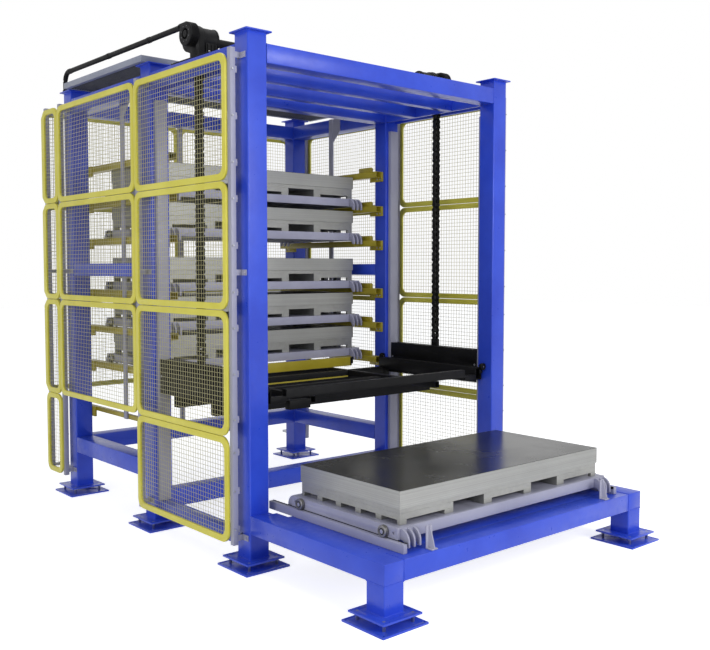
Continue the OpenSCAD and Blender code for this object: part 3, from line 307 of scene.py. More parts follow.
# Shapes
class Shape:
    """Collects solids in one mesh. Places and sizes are in millimetres, but a bevel is in metres."""

    def __init__(self, name, body, mat, slot, replaces=()):
        self.name, self.body, self.mats, self.slot, self.old = name, body, [mat], slot, replaces
        self.bm = bmesh.new()
        self.index = 0

    def material(self, mat):
        """The material of what comes next."""
        if mat not in self.mats:
            self.mats.append(mat)
        self.index = self.mats.index(mat)
        return self

    def face(self, verts):
        self.bm.faces.new(verts).material_index = self.index

    def ends(self, first, last):
        """Closes a form with a face at each end."""
        self.face(first)
        self.face(last[::-1])

    def band(self, one, two):
        """Faces between two loops of vertices."""
        for i in range(len(one)):
            j = (i + 1) % len(one)
            self.face((one[j], one[i], two[i], two[j]))

    def loop(self, axis, centre, t, r, n, turn=0.0):
        """A circle of vertices round an axis; centre holds the other two coordinates."""
        angles = [turn + 2 * math.pi * i / n for i in range(n)]
        points = [(centre[0] + r * math.cos(w), centre[1] + r * math.sin(w)) for w in angles]
        return [self.bm.verts.new(along(axis, p, q, t)) for p, q in points]

    def hoop(self, centre, side, other, r, n):
        """A circle of vertices in the plane of two directions, round a centre in the frame's metres."""
        angles = [2 * math.pi * k / n for k in range(n)]
        return [self.bm.verts.new(centre + (side * math.cos(w) + other * math.sin(w)) * r / 1000)
                for w in angles]

    def box(self, x, y, z):
        v = [self.bm.verts.new(place(a, b, c)) for a in x for b in y for c in z]
        for q in ((0, 1, 3, 2), (4, 6, 7, 5), (0, 4, 5, 1), (2, 3, 7, 6), (0, 2, 6, 4), (1, 5, 7, 3)):
            self.face([v[i] for i in q])

    def prism(self, outline, axis, a, b):
        """Outline in the two axes left of X, Y, Z order, pushed along axis from a to b."""
        one = [self.bm.verts.new(along(axis, p, q, a)) for p, q in outline]
        two = [self.bm.verts.new(along(axis, p, q, b)) for p, q in outline]
        self.ends(one, two)
        self.band(one, two)

    def rod(self, axis, centre, a, b, r, n=24, turn=0.0):
        """Round bar along axis from a to b."""
        one = self.loop(axis, centre, a, r, n, turn)
        two = self.loop(axis, centre, b, r, n, turn)
        self.ends(one, two)
        self.band(one, two)

    def lathe(self, axis, centre, profile, n=40):
        """Turned form: profile holds (place along axis, radius) and is closed."""
        loops = [self.loop(axis, centre, t, r, n) for t, r in profile]
        for one, two in zip(loops, loops[1:] + loops[:1]):
            for i in range(n):
                j = (i + 1) % n
                self.face((one[i], one[j], two[j], two[i]))

    def bolt(self, axis, centre, seat, out, size=16, washer=True):
        """Hex head on a washer. seat is the face it lies on, out is +1 or -1 along axis."""
        t = seat
        if washer:
            self.rod(axis, centre, t, t + out * size * 0.18, size * 1.05, 16)
            t += out * size * 0.18
        self.rod(axis, centre, t, t + out * size * 0.62, size * 0.87, 6, 0.3)
        self.rod(axis, centre, t + out * size * 0.62, t + out * size * 0.85, size * 0.42, 10)

    def tube(self, points, r, n=12):
        """Round tube through points."""
        pts = [place(*p) for p in points]
        loops = []
        for before, here, after in zip(pts[:1] + pts, pts, pts[1:] + pts[-1:]):
            way = (after - before).normalized()
            side = way.cross(Vector((0, 0, 1)))
            if side.length < 0.01:
                side = way.cross(Vector((1, 0, 0)))
            side.normalize()
            loops.append(self.hoop(here, side, side.cross(way).normalized(), r, n))
        self.ends(loops[0], loops[-1])
        for one, two in zip(loops, loops[1:]):
            self.band(one, two)

    def done(self, bevel=0.0, segments=2, angle=35):
        bmesh.ops.recalc_face_normals(self.bm, faces=self.bm.faces)
        mesh = bpy.data.meshes.new(self.name)
        self.bm.to_mesh(mesh)
        self.bm.free()
        return finish(self.name, mesh, self.mats, self.body, self.old, bevel, segments, angle)


def broken_edges(obj, bevel, segments):
    """Puts a bevel on the object's sharp edges, in its mesh."""
    plain = obj.data
    mod = obj.modifiers.new("bevel", "BEVEL")
    mod.width = bevel
    mod.segments = segments
    mod.limit_method = "ANGLE"
    mod.angle_limit = math.radians(30)
    mod.use_clamp_overlap = True
    bpy.context.view_layer.update()
    seen = obj.evaluated_get(bpy.context.evaluated_depsgraph_get())
    made = bpy.data.meshes.new_from_object(seen)
    obj.modifiers.clear()
    obj.data = made
    bpy.data.meshes.remove(plain)
    made.name = obj.name


def finish(name, mesh, mats, body, old, bevel, segments, angle):
    """Makes the piece of a mesh: its materials, broken edges and shading, and what it rides on."""
    obj = bpy.data.objects.new(name, mesh)
    bpy.context.scene.collection.objects.link(obj)
    for m in mats:
        mesh.materials.append(m)
    if bevel:
        broken_edges(obj, bevel, segments)
    obj.data.polygons.foreach_set("use_smooth", [True] * len(obj.data.polygons))
    obj.data.set_sharp_from_angle(angle=math.radians(angle))
    if body:
        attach(obj, body)
    if old:
        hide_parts(*old)
    return obj


def copy_of(node):
    """A CAD node's mesh as a bmesh, with its split vertices joined."""
    bm = bmesh.new()
    bm.from_mesh(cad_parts[node].data)
    bmesh.ops.remove_doubles(bm, verts=bm.verts, dist=0.00002)
    return bm


def dress(node, body, mat, bevel=0.003, segments=2):
    """A copy of a CAD node with broken edges stands for it. Its bevel is in metres."""
    bm = copy_of(node)
    bmesh.ops.dissolve_limit(bm, angle_limit=math.radians(1.0), verts=bm.verts, edges=bm.edges)
    mesh = bpy.data.meshes.new(node + "_dressed")
    bm.to_mesh(mesh)
    bm.free()
    return finish(node + "_dressed", mesh, [mat], body, [node], bevel, segments, 40)


# Tower
def dressed_tower():
    """The CAD nodes of the tower, fence, roof and hoist that only take broken edges and paint."""
    blue = {"columns": 0.004, "column_caps": 0.003, "base_plates": 0.003, "foot_plates": 0.003,
            "side_beams": 0.005, "cross_beams": 0.005, "front_lintel": 0.005}
    for node, bevel in blue.items():
        dress(node, "structure", BLUE, bevel)
    dress("guide_rails", "structure", GREY)
    dress("jack_screws", "structure", ZINC, 0.0015, 1)
    for node in ("shelf_brackets", "shelf_rails", "rail_blocks"):
        dress(node, "structure", OCHRE)
    for node in ("hanging_uprights", "table_rails", "table_stops", "fence_posts"):
        dress(node, "structure", GREY)
    dress("roof_frame", "structure", ROOF, 0.004)
    dress("fence_clamps", "structure", ZINC, 0.002)
    dress("fence_frames", "structure", PALE, 0.007, 3)
    dress("drive_bases", "structure", BLACK)
    dress("hoist_shaft", "hoist_shaft", BLACK, 0.002, 1)


def conduit():
    """Conduit from the left motor to the roof, with sleeves on its level part and a nut at its foot."""
    pipe = Shape("conduit_run", "structure", BLACK, "black_paint", ["cable_conduit"])
    x, down_y, bend, nut = -CONDUIT_X, 4310, 120, 20
    pipe_r, sleeve_r, nut_r, sides = 32, 36, 42, 20
    level_end = down_y - bend
    steps = [i / 10 for i in range(11)]
    run = [(x, MOTOR_BOX_Y[1] + (level_end - MOTOR_BOX_Y[1]) * t, CONDUIT_Z) for t in steps]
    run += [(x, y, z) for y, z in arc(level_end, CONDUIT_Z - bend, bend, 81, 9, 8)]
    run += [(x, down_y, CONDUIT_Z - bend), (x, down_y, ROOF_Z)]
    pipe.tube(run, pipe_r, sides)
    for y in (1900, 2950, 4130):
        pipe.tube([(x, y, CONDUIT_Z), (x, y + 60, CONDUIT_Z)], sleeve_r, sides)
    pipe.rod("Z", (x, down_y), ROOF_Z, ROOF_Z + nut, nut_r, 8)
    pipe.done(0.001, 1)


def table_ledge():
    """Ledges behind the table's front beam and along its side beams, level with their tops."""
    ledge = Shape("table_front_ledge", "structure", BLUE, "blue_paint")
    half, front, back = 1640, -1925, -1700
    side_x, side_end, side_web = 1732, -190, 8
    plate, web_low = 12, 500
    under, web_y = TABLE_TOP_Z - plate, back - plate
    ledge.box((-half, half), (front, back), (under, TABLE_TOP_Z))
    ledge.box((-half, half), (web_y, back), (web_low, under))
    gusset = [(front, under), (web_y, under), (web_y, 545), (front, 440)]
    for x in (-1200, -600, 0, 600, 1200):
        ledge.prism(gusset, "X", x - plate / 2, x + plate / 2)
    for s in (-1, 1):
        ledge.box(span(s, side_x, INNER_X + 1), (back, side_end), (under, TABLE_TOP_Z - 0.5))
        ledge.box(span(s, side_x, side_x + side_web), (back, side_end), (web_low, under))
    ledge.done(0.002, 2)


def rail_shade_strips():
    """Black strips on the inner edges of the table's rails, just under the tray: painted shade, a dark line
    where the gap under the tray lies in shade.
    """
    shade_strips = Shape("table_rail_shade_strips", "structure", BLACK, "black_paint")
    rail_x, thick, rail_y, height = 1640, 8, (-2056, 6), (636, 664.2)
    for s in (-1, 1):
        shade_strips.box(span(s, rail_x - thick, rail_x), rail_y, height)
    shade_strips.done(0.001, 1)


# Fence and roof
def fence_straps():
    """Straps that hold the posts' clamps to the columns, and lugs along the front posts."""
    straps = Shape("fence_straps", "structure", GREY, "grey_paint")
    strap_x, strap_half, lug_x, lug_half = 2029, 30, 2074, 34
    strap_bolt_y, lug_bolt_y = -84, 14
    for s in (-1, 1):
        for y in (FRONT_POST_Y, MIDDLE_Y, REAR_Y):
            for z in CLAMP_Z:
                height = (z - strap_half, z + strap_half)
                straps.box(span(s, OUTER_X + 0.3, strap_x), (y - 108, y + 34), height)
                straps.box(span(s, strap_x, POST_IN_X), (y - 22, y - 14), height)
                straps.bolt("X", (y + strap_bolt_y, z), s * strap_x, s, 16)
        for z in CLIP_Z:
            straps.box(span(s, lug_x, POST_IN_X), (-6, 34), (z - lug_half, z + lug_half))
            straps.bolt("X", (lug_bolt_y, z), s * lug_x, -s, 15, False)
    straps.done(0.003, 2)


def wire(mesh, start, end, r):
    """One five-sided wire with open ends."""
    p, q = place(*start), place(*end)
    way = (q - p).normalized()
    side = way.cross(Vector((0.3, 0.4, 0.86))).normalized()
    other = way.cross(side)
    mesh.band(mesh.hoop(q, side, other, r, 5), mesh.hoop(p, side, other, r, 5))


def wire_panel(mesh, across, up, point):
    """The wires of one frame. point(u, v, depth) gives the place of a point on it."""
    margin, corner, pitch, wire_r, upright_depth = 62, 90, 50, 2.4, 17
    across = (across[0] + margin, across[1] - margin)
    up = (up[0] + margin, up[1] - margin)
    for upright in (True, False):
        (low, high), (start, end) = (across, up) if upright else (up, across)
        depth = upright_depth if upright else upright_depth - 2 * wire_r
        count = max(2, round((high - low) / pitch))
        for i in range(1, count):
            t = low + (high - low) * i / count
            inset = corner - min(corner, t - low, high - t)
            cut = corner - math.sqrt(corner ** 2 - inset ** 2)
            ends = [(t, v) if upright else (v, t) for v in (start + cut, end - cut)]
            wire(mesh, *[point(u, v, depth) for u, v in ends], wire_r)


def fence_wires():
    """Fine mesh of the fence: round wires, the level ones outside the upright ones."""
    mesh = Shape("fence_wires", "structure", WIRE, "mesh_wire", ["fence_mesh"])
    gap = 3
    columns = [(a + gap, b - gap) for a, b in zip(FRAME_COLUMNS, FRAME_COLUMNS[1:])]
    rows = [(a + gap, b - gap) for a, b in zip(FRAME_ROWS, FRAME_ROWS[1:])]
    for s in (-1, 1):
        for c, column in enumerate(columns):
            # The lowest row has no frame between the middle and the rear columns
            for row in rows[1 if c == 1 else 0:]:
                wire_panel(mesh, column, row, lambda y, z, depth: (s * (FENCE_X - depth), y, z))
    for column in ((-FENCE_X + gap, -gap), (gap, FENCE_X - gap)):
        for row in rows[1:]:
            wire_panel(mesh, column, row, lambda x, z, depth: (x, FENCE_REAR_Y - depth, z))
    mesh.done()


def roof_grating():
    """Bars of the roof from front to rear, and shallow ties across them, with level tops."""
    grate = Shape("roof_grating", "structure", GRATE, "mesh_wire", ["roof_deck"])
    half, front, rear, top = 2062, 1991, 4059, 5598
    bars, bar_thick, bar_high = 122, 4, 26
    ties, tie_thick, tie_high = 22, 6, 8
    for i in range(bars):
        x = -half + i * (2 * half - bar_thick) / (bars - 1)
        grate.box((x, x + bar_thick), (front, rear), (top - bar_high, top))
    for i in range(ties):
        y = front + i * (rear - front - tie_thick) / (ties - 1)
        grate.box((-half, half), (y, y + tie_thick), (top - tie_high, top))
    grate.done()


# Welds and bolts of the tower
def bead(beads, rng, start, end, r=5):
    """One weld bead, a little uneven along its way."""
    first, last = Vector(start), Vector(end)
    way = (place(*end) - place(*start)).normalized()
    side = way.cross(Vector((0.31, 0.42, 0.85))).normalized()
    other = way.cross(side)
    n = max(2, int((last - first).length / 14))
    loops = []
    for i in range(n + 1):
        uneven = r * (0.85 + 0.3 * rng.random())
        loops.append(beads.hoop(place(*first.lerp(last, i / n)), side, other, uneven, 6))
    for one, two in zip(loops, loops[1:]):
        beads.band(two, one)
    beads.ends(loops[0], loops[-1])


def square_bead(beads, rng, x, y, half, z):
    """Four beads round a column."""
    signs = ((-1, -1), (1, -1), (1, 1), (-1, 1))
    corners = [(x + a * half, y + b * half, z) for a, b in signs]
    for i in range(4):
        bead(beads, rng, corners[i], corners[(i + 1) % 4])


def weld_beads():
    """Beads on the floor plates and under the caps, on the table's legs, and round the beams' ends."""
    beads = Shape("weld_beads", "structure", BLUE, "blue_paint")
    rng = random.Random(7)
    leg_top = 381
    middle, rear = (1920, 2140), (4140, 4360)
    beam_ends = ((-120, 100, *TOP_BEAM_Z), (*middle, *TOP_BEAM_Z), (*rear, *TOP_BEAM_Z),
                 (*middle, 215, 430), (*rear, 585, 798), (-2165, -1925, leg_top, TABLE_TOP_Z))
    for s in (-1, 1):
        for y in (FRONT_Y, MIDDLE_Y, REAR_Y, LEG_Y):
            square_bead(beads, rng, s * COLUMN_X, y, COLUMN_HALF, PLATE_TOP_Z)
        for y in (FRONT_Y, MIDDLE_Y, REAR_Y):
            square_bead(beads, rng, s * COLUMN_X, y, COLUMN_HALF, COLUMN_TOP_Z)
        square_bead(beads, rng, s * COLUMN_X, LEG_Y, COLUMN_HALF - 1, leg_top)
        x = s * (INNER_X - 1)
        for y0, y1, z0, z1 in beam_ends:
            sides = ((y0, z0, y1, z0), (y0, z1, y1, z1), (y0, z0, y0, z1), (y1, z0, y1, z1))
            for ya, za, yb, zb in sides:
                bead(beads, rng, (x, ya, za), (x, yb, zb), 4)
    beads.done(angle=60)


def tower_bolts():
    """Bolts of the fence's clamps and clips, and of the shelf brackets."""
    bolts = Shape("tower_bolts", "structure", ZINC, "bright_steel")
    clamp_x, bracket_x, bracket_drop = OUTER_X + 42, 1748, 105
    clip_y = FRONT_POST_Y - 30
    for s in (-1, 1):
        for y in (FRONT_POST_Y, MIDDLE_Y, REAR_Y):
            for z in CLAMP_Z:
                bolts.bolt("X", (y, z), s * clamp_x, s, 15)
                bolts.rod("X", (y, z), s * POST_IN_X, s * (POST_IN_X - 7), 13, 12)
        for z in CLIP_Z:
            bolts.rod("Y", (s * POST_MID_X, z), clip_y, clip_y - 14, 11, 12)
            bolts.rod("Y", (s * POST_MID_X, z), clip_y - 14, clip_y - 20, 7, 6)
        for y in (MIDDLE_Y, REAR_Y, LAST_POST_Y):
            for z in CLIP_Z:
                bolts.rod("X", (y, z), s * POST_IN_X, s * (POST_IN_X - 11), 10, 12)
        for z in LEVELS:
            for y in (1995, 2060, 4220, 4285):
                bolts.bolt("X", (y, z - bracket_drop), s * bracket_x, -s, 12)
    bolts.done(0.0008, 1)


# Hoist
def chain_cases():
    """Each case is round over its chain wheel, then goes down along the chain, with a rim and a foot."""
    case = Shape("chain_case_pair", "structure", BLACK, "black_paint", ["chain_cases"])
    r, rim, front, back = 152, 7, 974, 1104
    for s in (-1, 1):
        outline = arc(SHAFT_Y, SHAFT_Z, r, -62, 180, 34)
        outline += [(front, BASE_Z), (back, BASE_Z), (back, BASE_Z + 75)]
        case.prism(outline, "X", *span(s, *CASE_X))
        outline = arc(SHAFT_Y, SHAFT_Z, r + rim, -60, 180, 34)
        outline += [(front - rim, BASE_Z), (back + rim, BASE_Z), (back + rim, BASE_Z + 80)]
        case.prism(outline, "X", *span(s, 1894, 1906))
        case.box(span(s, 1836, 1964), (front - 16, back + 16), (BASE_Z, BASE_Z + 12))
    case.done(0.003, 2)


def gear_unit(drive, s):
    """A drum on a squared foot, with flanges, ribs and a bearing cover."""
    inner = CASE_X[0]
    profile = [(1622, 56), (1622, 84), (GEAR_COVER_X, 88), (GEAR_COVER_X, 118), (1642, 126), (1642, 143),
               (1658, 143), (1662, 137), (1818, 137), (1822, 146), (inner, 146), (inner, 56)]
    drive.lathe("X", (SHAFT_Y, SHAFT_Z), [(s * x, r) for x, r in profile], 56)
    drive.box(span(s, 1668, 1814), (SHAFT_Y - 128, SHAFT_Y + 118), (5478, SHAFT_Z))
    rib_low, rib_high = 5486, 5640
    for x in (1690, 1741, 1792):
        for far, near in ((-141, -100), (132, 100)):
            rib = [(SHAFT_Y + far, rib_low), (SHAFT_Y + far, rib_high),
                   (SHAFT_Y + near, SHAFT_Z), (SHAFT_Y + near, rib_low)]
            drive.prism(rib, "X", s * x - 5, s * x + 5)
    drive.box(span(s, 1640, 1840), (SHAFT_Y - 150, SHAFT_Y + 142), (BASE_Z, GEAR_FOOT_Z))


def motor(drive, s):
    """A ribbed drum with an end cover, and its terminal box with a nut for the conduit."""
    inner = CASE_X[1]
    profile = [(inner, 60), (inner, 128)]
    for x in range(1962, 2046, 14):
        profile += [(x, 128), (x + 1, 131), (x + 7, 131), (x + 8, 124)]
    profile += [(2047, 124), (2049, 131), (2062, 131), (MOTOR_END_X, 126), (MOTOR_END_X, 60)]
    cover = [(2060, 2), (2071, 2), (2071, 34), (2066, 40), (2060, 40)]
    drive.lathe("X", (MOTOR_Y, MOTOR_Z), [(s * x, r) for x, r in profile], 56)
    drive.lathe("X", (MOTOR_Y, MOTOR_Z), [(s * x, r) for x, r in cover], 32)
    drive.box(span(s, 1984, 2044), MOTOR_BOX_Y, (5800, 5860))
    drive.rod("Y", (s * CONDUIT_X, CONDUIT_Z), MOTOR_BOX_Y[1], MOTOR_BOX_Y[1] + 22, 40, 8)


def hoist_drives():
    """Gear unit and motor at each end of the shaft."""
    drive = Shape("hoist_drive_pair", "structure", BLACK, "black_paint", ["hoist_gearmotors"])
    for s in (-1, 1):
        gear_unit(drive, s)
        motor(drive, s)
    drive.done(0.002, 2)


def hoist_bolts():
    """Bolts of the gear units, the motors and the base plates."""
    bolts = Shape("hoist_bolts", "structure", ZINC, "bright_steel")
    gear_circle, motor_circle = 103, 84
    for s in (-1, 1):
        for k in range(8):
            w = math.radians(22.5 + 45 * k)
            y, z = math.cos(w), math.sin(w)
            on_gear = (SHAFT_Y + gear_circle * y, SHAFT_Z + gear_circle * z)
            on_motor = (MOTOR_Y + motor_circle * y, MOTOR_Z + motor_circle * z)
            bolts.bolt("X", on_gear, s * GEAR_COVER_X, -s, 9, False)
            bolts.bolt("X", on_motor, s * MOTOR_END_X, s, 4.5, False)
        for y in (SHAFT_Y - 140, SHAFT_Y + 130):
            for x in (1655, 1716, 1767, 1826):
                bolts.bolt("Z", (s * x, y), GEAR_FOOT_Z, 1, 10)
        for x in (1640, 2000):
            for y in (630, 1400):
                bolts.bolt("Z", (s * x, y), BASE_Z, 1, 13)
    bolts.done(0.0006, 1)


def islands(bm):
    """Groups of vertices that edges join, in the order of their first vertices."""
    found = []
    seen = set()
    for first in bm.verts:
        if first in seen:
            continue
        seen.add(first)
        island = [first]
        for vert in island:
            near = [edge.other_vert(vert) for edge in vert.link_edges]
            fresh = [other for other in near if other not in seen]
            seen.update(fresh)
            island += fresh
        found.append(island)
    return found


def hang(chain):
    """Bakes a chain piece's place into its mesh."""
    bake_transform(chain)


def chain_strands():
    """A copy of the CAD's chains."""
    bm = copy_of("hoist_chains")
    # What lies on the wheels' teeth is left out: the case hides it, and the teeth turn through its place
    hidden = []
    for island in islands(bm):
        heights = [v.co.z for v in island]
        if (min(heights) + max(heights)) / 2 > 5.600:
            hidden += island
    bmesh.ops.delete(bm, geom=hidden, context="VERTS")
    mesh = bpy.data.meshes.new("hoist_chain_strands")
    bm.to_mesh(mesh)
    bm.free()
    hang(finish("hoist_chain_strands", mesh, [CHAIN], None, ["hoist_chains"], 0, 1, 35))


def chain_middle_plates():
    """Middle plates of the links that hang free, with the pin heads outside."""
    middle = Shape("hoist_chain_middle_plates", None, CHAIN, "chain_steel")
    end_r, half, start, thick = 35, 29, 25, 9
    head_x, head, head_r = 43, 4, 11
    first, last = 4, 45
    for s in (-1, 1):
        x = s * COLUMN_X
        for i in range(first, last + 1):
            low = SHAFT_Z - i * CHAIN_PITCH
            high = low + CHAIN_PITCH
            outline = arc(CHAIN_Y, low, end_r, 200, 340, 8)
            outline += [(CHAIN_Y + half, low + start), (CHAIN_Y + half, high - start)]
            outline += arc(CHAIN_Y, high, end_r, 20, 160, 8)
            outline += [(CHAIN_Y - half, high - start), (CHAIN_Y - half, low + start)]
            middle.prism(outline, "X", x - thick / 2, x + thick / 2)
            for side in (-1, 1):
                inner = x + side * head_x
                middle.rod("X", (CHAIN_Y, low), inner, inner + side * head, head_r, 12)
    hang(middle.done())


# Carriage
def carriage_frame():
    """The carriage's CAD nodes, the yellow strip on its rear beam, and webs between its beams."""
    for node in ("carriage_side_beams", "carriage_rails", "carriage_cross_beams", "transfer_drive"):
        dress(node, "carriage", BLACK)
    strip = Shape("carriage_strip", "carriage", OCHRE, "yellow_paint")
    strip.box((-958, 958), (1795, 1800), (1624, 1643))
    strip.done(0.001, 2)
    webs = Shape("carriage_webs", "carriage", BLACK, "black_paint")
    across, top = (-956, 956), 1711
    flange = (top - 8, top)
    webs.box(across, (1803, 1813), (1640, top))
    webs.box(across, (1803, 1873), flange)
    webs.box(across, (2262, 2274), (1630, top))
    webs.box(across, (2226, 2274), flange)
    for s in (-1, 1):
        webs.box(span(s, 1741, 1755), (112, 1798), (1640, 1692))
    webs.done(0.002, 2)


def transfer_beam():
    """The beam that takes the trays along, and the dogs at its ends."""
    half, y, z = 1400, (2230, 2300), (1715, 1845)
    beam = Shape("transfer_bar", "transfer_beam", OCHRE, "yellow_paint", ["transfer_beam"])
    beam.box((-half, half), y, z)
    beam.done(0.004, 3)
    dogs = Shape("transfer_dogs", "transfer_beam", BLACK, "black_paint")
    for s in (-1, 1):
        dogs.box(span(s, half, 1430), (2231, 2299), (1745, 1845))
        dogs.box(span(s, 1372, half + 1), (2229, 2231), (1722, 1838))
        for bolt_z in (1745, 1815):
            dogs.bolt("Y", (s * 1386, bolt_z), 2229, -1, 9, False)
    dogs.done(0.0025, 2)


def side_rollers():
    """Rollers at the front and rear ends of the side beams, each with its pin and hub."""
    front = (-22, 16, (11, 30), (-22, 8))
    rear = (1914, 1952, (1900, 1919), (1952, 1922))
    for side, s in (("left", -1), ("right", 1)):
        node = side + "_side_rollers"
        rollers = Shape(side + "_side_roller_pair", node, BLACK, "black_paint", [node])
        centre = (s * 1735, AXLE_Z)
        for y0, y1, pin, hub in (front, rear):
            profile = [(y0, 12), (y0, 22), (y0 + 4, 25), (y0 + 4, 35), (y0, 38), (y0, 41), (y0 + 3.5, 44.7),
                       (y1 - 3.5, 44.7), (y1, 41), (y1, 12)]
            rollers.material(BLACK).lathe("Y", centre, profile, 40)
            rollers.material(TURNED).rod("Y", centre, *pin, 10)
            rollers.rod("Y", centre, *hub, 12)
        rollers.done()


def rail_rollers():
    """Rollers that run on the guide rails, with hollow faces and an axle through each."""
    for end, y in (("front", 222.3), ("rear", 1807.7)):
        node = end + "_rail_rollers"
        rollers = Shape(end + "_rail_roller_pair", node, TURNED, "bright_steel", [node])
        for s in (-1, 1):
            a, b = span(s, 1847, 1953)
            profile = [(a, 15), (a, 27), (a + 5, 30), (a + 5, 37), (a, 40), (a + 4, 45), (b - 4, 45), (b, 40),
                       (b - 5, 37), (b - 5, 30), (b, 27), (b, 15)]
            rollers.material(TURNED).lathe("X", (y, AXLE_Z), profile, 40)
            rollers.material(ZINC).rod("X", (y, AXLE_Z), *span(s, 1830, 1970), 15)
        rollers.done()


# Trays
def tray_deck(name, y, level):
    """Thin deck under the skid, on six webs."""
    deck = Shape(name + "_deck", name, GREY, "grey_paint")
    depth = (y - 741, y + 741)
    webs, web_half, tray_width = 6, 6, 3308
    deck.box((-1579, 1579), depth, (level + 108, level + 112.7))
    for k in range(webs):
        x = (k - 2.5) * tray_width / webs
        deck.box((x - web_half, x + web_half), depth, (level + 60, level + 109))
    deck.done(0.0005, 1)


def sheet_pack(name, y, level):
    """A pack of sheets on its skid, which has fork pockets and a slotted foot at each side."""
    load = Shape(name + "_pack", name, SKID, "sheet_steel", [name + "_load"])
    low, pack_low, pack_top = level + 113, level + 265, level + 438
    foot_z, pocket_z = low + 45, low + 105
    half, sheet_half = 1550, 1560
    front, rear = y - 740, y + 740
    load.box((-half, half), (front, rear), (pocket_z, pack_low))
    for x in ((-378, 378), (829, half), (-half, -829)):
        load.box(x, (front, rear), (foot_z, pocket_z))
    for x in ((-378, -256), (256, 378), (829, 951), (-951, -829)):
        load.box(x, (front, rear), (low, foot_z))
    posts, slot_half = 6, 108
    step = (rear - front) / (posts - 1)
    for s in (-1, 1):
        for k in range(posts):
            start = front if k == 0 else front + (k - 0.5) * step + slot_half
            end = rear if k == posts - 1 else front + (k + 0.5) * step - slot_half
            load.box(span(s, 1463, half), (start, end), (low, foot_z))
    sheets_y = (y - 750, y + 750)
    load.material(EDGE).box((-sheet_half, sheet_half), sheets_y, (pack_low + 0.3, pack_top - 3))
    load.material(TOP).box((-sheet_half, sheet_half), sheets_y, (pack_top - 3, pack_top))
    load.done(0.0015, 1)


def wheel(wheels, s, centre):
    """One wheel: steel tread, black web and plated bushing. Its profiles go out from the inner face."""
    face, width = 1640, 44
    parts = ((TURNED, 48, [(0, 31), (0, 53), (4, 58), (width - 4, 58), (width, 54), (width, 45),
                           (width - 6, 43), (width - 6, 33), (width - 1, 31)]),
             (BLACK, 40, [(0, 18), (0, 31), (width - 3, 31), (width - 3, 21)]),
             (ZINC, 40, [(0, 15.1), (0, 18), (width - 3, 21), (width, 21), (width, 15.1)]))
    for mat, n, profile in parts:
        wheels.material(mat).lathe("X", centre, [(s * (face + t), r) for t, r in profile], n)


def tray_wheels(name, y, level):
    """Two pairs of wheels under a tray."""
    for end, offset in (("front", -630), ("rear", 630)):
        node = "%s_%s_wheels" % (name, end)
        wheels = Shape("%s_%s_wheel_pair" % (name, end), node, TURNED, "bright_steel", [node])
        for s in (-1, 1):
            wheel(wheels, s, (y + offset, level + 58.3))
        wheels.done()


def trays():
    """The five trays on the shelves and the one on the table."""
    for name, y, level in TRAYS:
        dress(name + "_frame", name, GREY)
        tray_deck(name, y, level)
        sheet_pack(name, y, level)
        tray_wheels(name, y, level)


# Floor, backdrop and light
def seen_rays(tree):
    """1 for rays from the camera and for their mirror and glass rays."""
    rays = tree.nodes.new("ShaderNodeLightPath")
    value = rays.outputs["Is Camera Ray"]
    for other in ("Is Glossy Ray", "Is Transmission Ray"):
        larger = tree.nodes.new("ShaderNodeMath")
        larger.operation = "MAXIMUM"
        tree.links.new(value, larger.inputs[0])
        tree.links.new(rays.outputs[other], larger.inputs[1])
        value = larger.outputs[0]
    return value


def floor_material():
    """Pale floor that shows as white from the camera and keeps the object's shadow."""
    m = Nodes("studio_floor")
    m.set(Base_Color=(0.86, 0.86, 0.87, 1), Roughness=0.9)
    glow = m.new("ShaderNodeEmission")
    glow.inputs["Color"].default_value = (1, 1, 1, 1)
    both = m.new("ShaderNodeAddShader")
    m.link(m.times(seen_rays(m.tree), 0.74), glow.inputs["Strength"])
    m.link(m.bsdf.outputs[0], both.inputs[0])
    m.link(glow.outputs[0], both.inputs[1])
    m.link(both.outputs[0], m.tree.nodes["Material Output"].inputs["Surface"])
    return m.mat


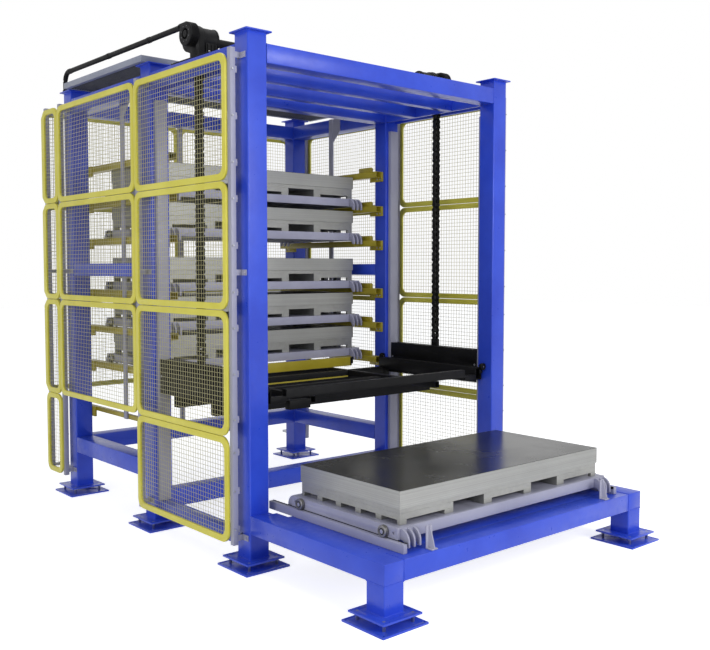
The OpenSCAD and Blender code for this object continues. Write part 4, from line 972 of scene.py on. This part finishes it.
def studio_floor():
    """A plain level floor of 120 m."""
    half = 60
    mesh = bpy.data.meshes.new("floor")
    bm = bmesh.new()
    for x, y in ((-half, -half), (half, -half), (half, half), (-half, half)):
        bm.verts.new((x, y, 0))
    bm.faces.new(bm.verts)
    bm.to_mesh(mesh)
    bm.free()
    floor = bpy.data.objects.new("floor", mesh)
    bpy.context.scene.collection.objects.link(floor)
    mesh.materials.append(floor_material())


def studio_world():
    """White where the camera sees it, and a weak cool light on the object."""
    world = bpy.data.worlds.new("studio")
    world.use_nodes = True
    bpy.context.scene.world = world
    tree = world.node_tree
    tree.nodes.clear()
    seen = tree.nodes.new("ShaderNodeBackground")
    seen.inputs["Color"].default_value = (1, 1, 1, 1)
    lit = tree.nodes.new("ShaderNodeBackground")
    lit.inputs["Color"].default_value = (0.90, 0.94, 1, 1)
    lit.inputs["Strength"].default_value = 0.34
    pick = tree.nodes.new("ShaderNodeMixShader")
    end = tree.nodes.new("ShaderNodeOutputWorld")
    tree.links.new(seen_rays(tree), pick.inputs[0])
    tree.links.new(lit.outputs[0], pick.inputs[1])
    tree.links.new(seen.outputs[0], pick.inputs[2])
    tree.links.new(pick.outputs[0], end.inputs["Surface"])


def area(name, at, target, size, power):
    """A rectangular white lamp at one place, turned to another. Both are in the frame's metres."""
    data = bpy.data.lights.new(name, "AREA")
    data.shape = "RECTANGLE"
    data.size, data.size_y = size
    data.energy = power
    lamp = bpy.data.objects.new(name, data)
    bpy.context.scene.collection.objects.link(lamp)
    lamp.location = at
    lamp.rotation_euler = (Vector(target) - Vector(at)).to_track_quat("-Z", "Y").to_euler()


dressed_tower()
conduit()
table_ledge()
# Black strips at the table's rails are painted shade in the gap under the tray
rail_shade_strips()
fence_straps()
fence_wires()
roof_grating()
weld_beads()
tower_bolts()
chain_cases()
hoist_drives()
hoist_bolts()
chain_strands()
chain_middle_plates()
carriage_frame()
transfer_beam()
side_rollers()
rail_rollers()
trays()
studio_floor()
studio_world()
area("key", (1.5, -16, 7.5), (0, 0, 2.4), (9, 6), 1250)
area("fill", (-15, -4, 5), (0, 0, 2.5), (8, 6), 560)
area("top", (0, 0, 13), (0, 0, 2), (9, 9), 300)
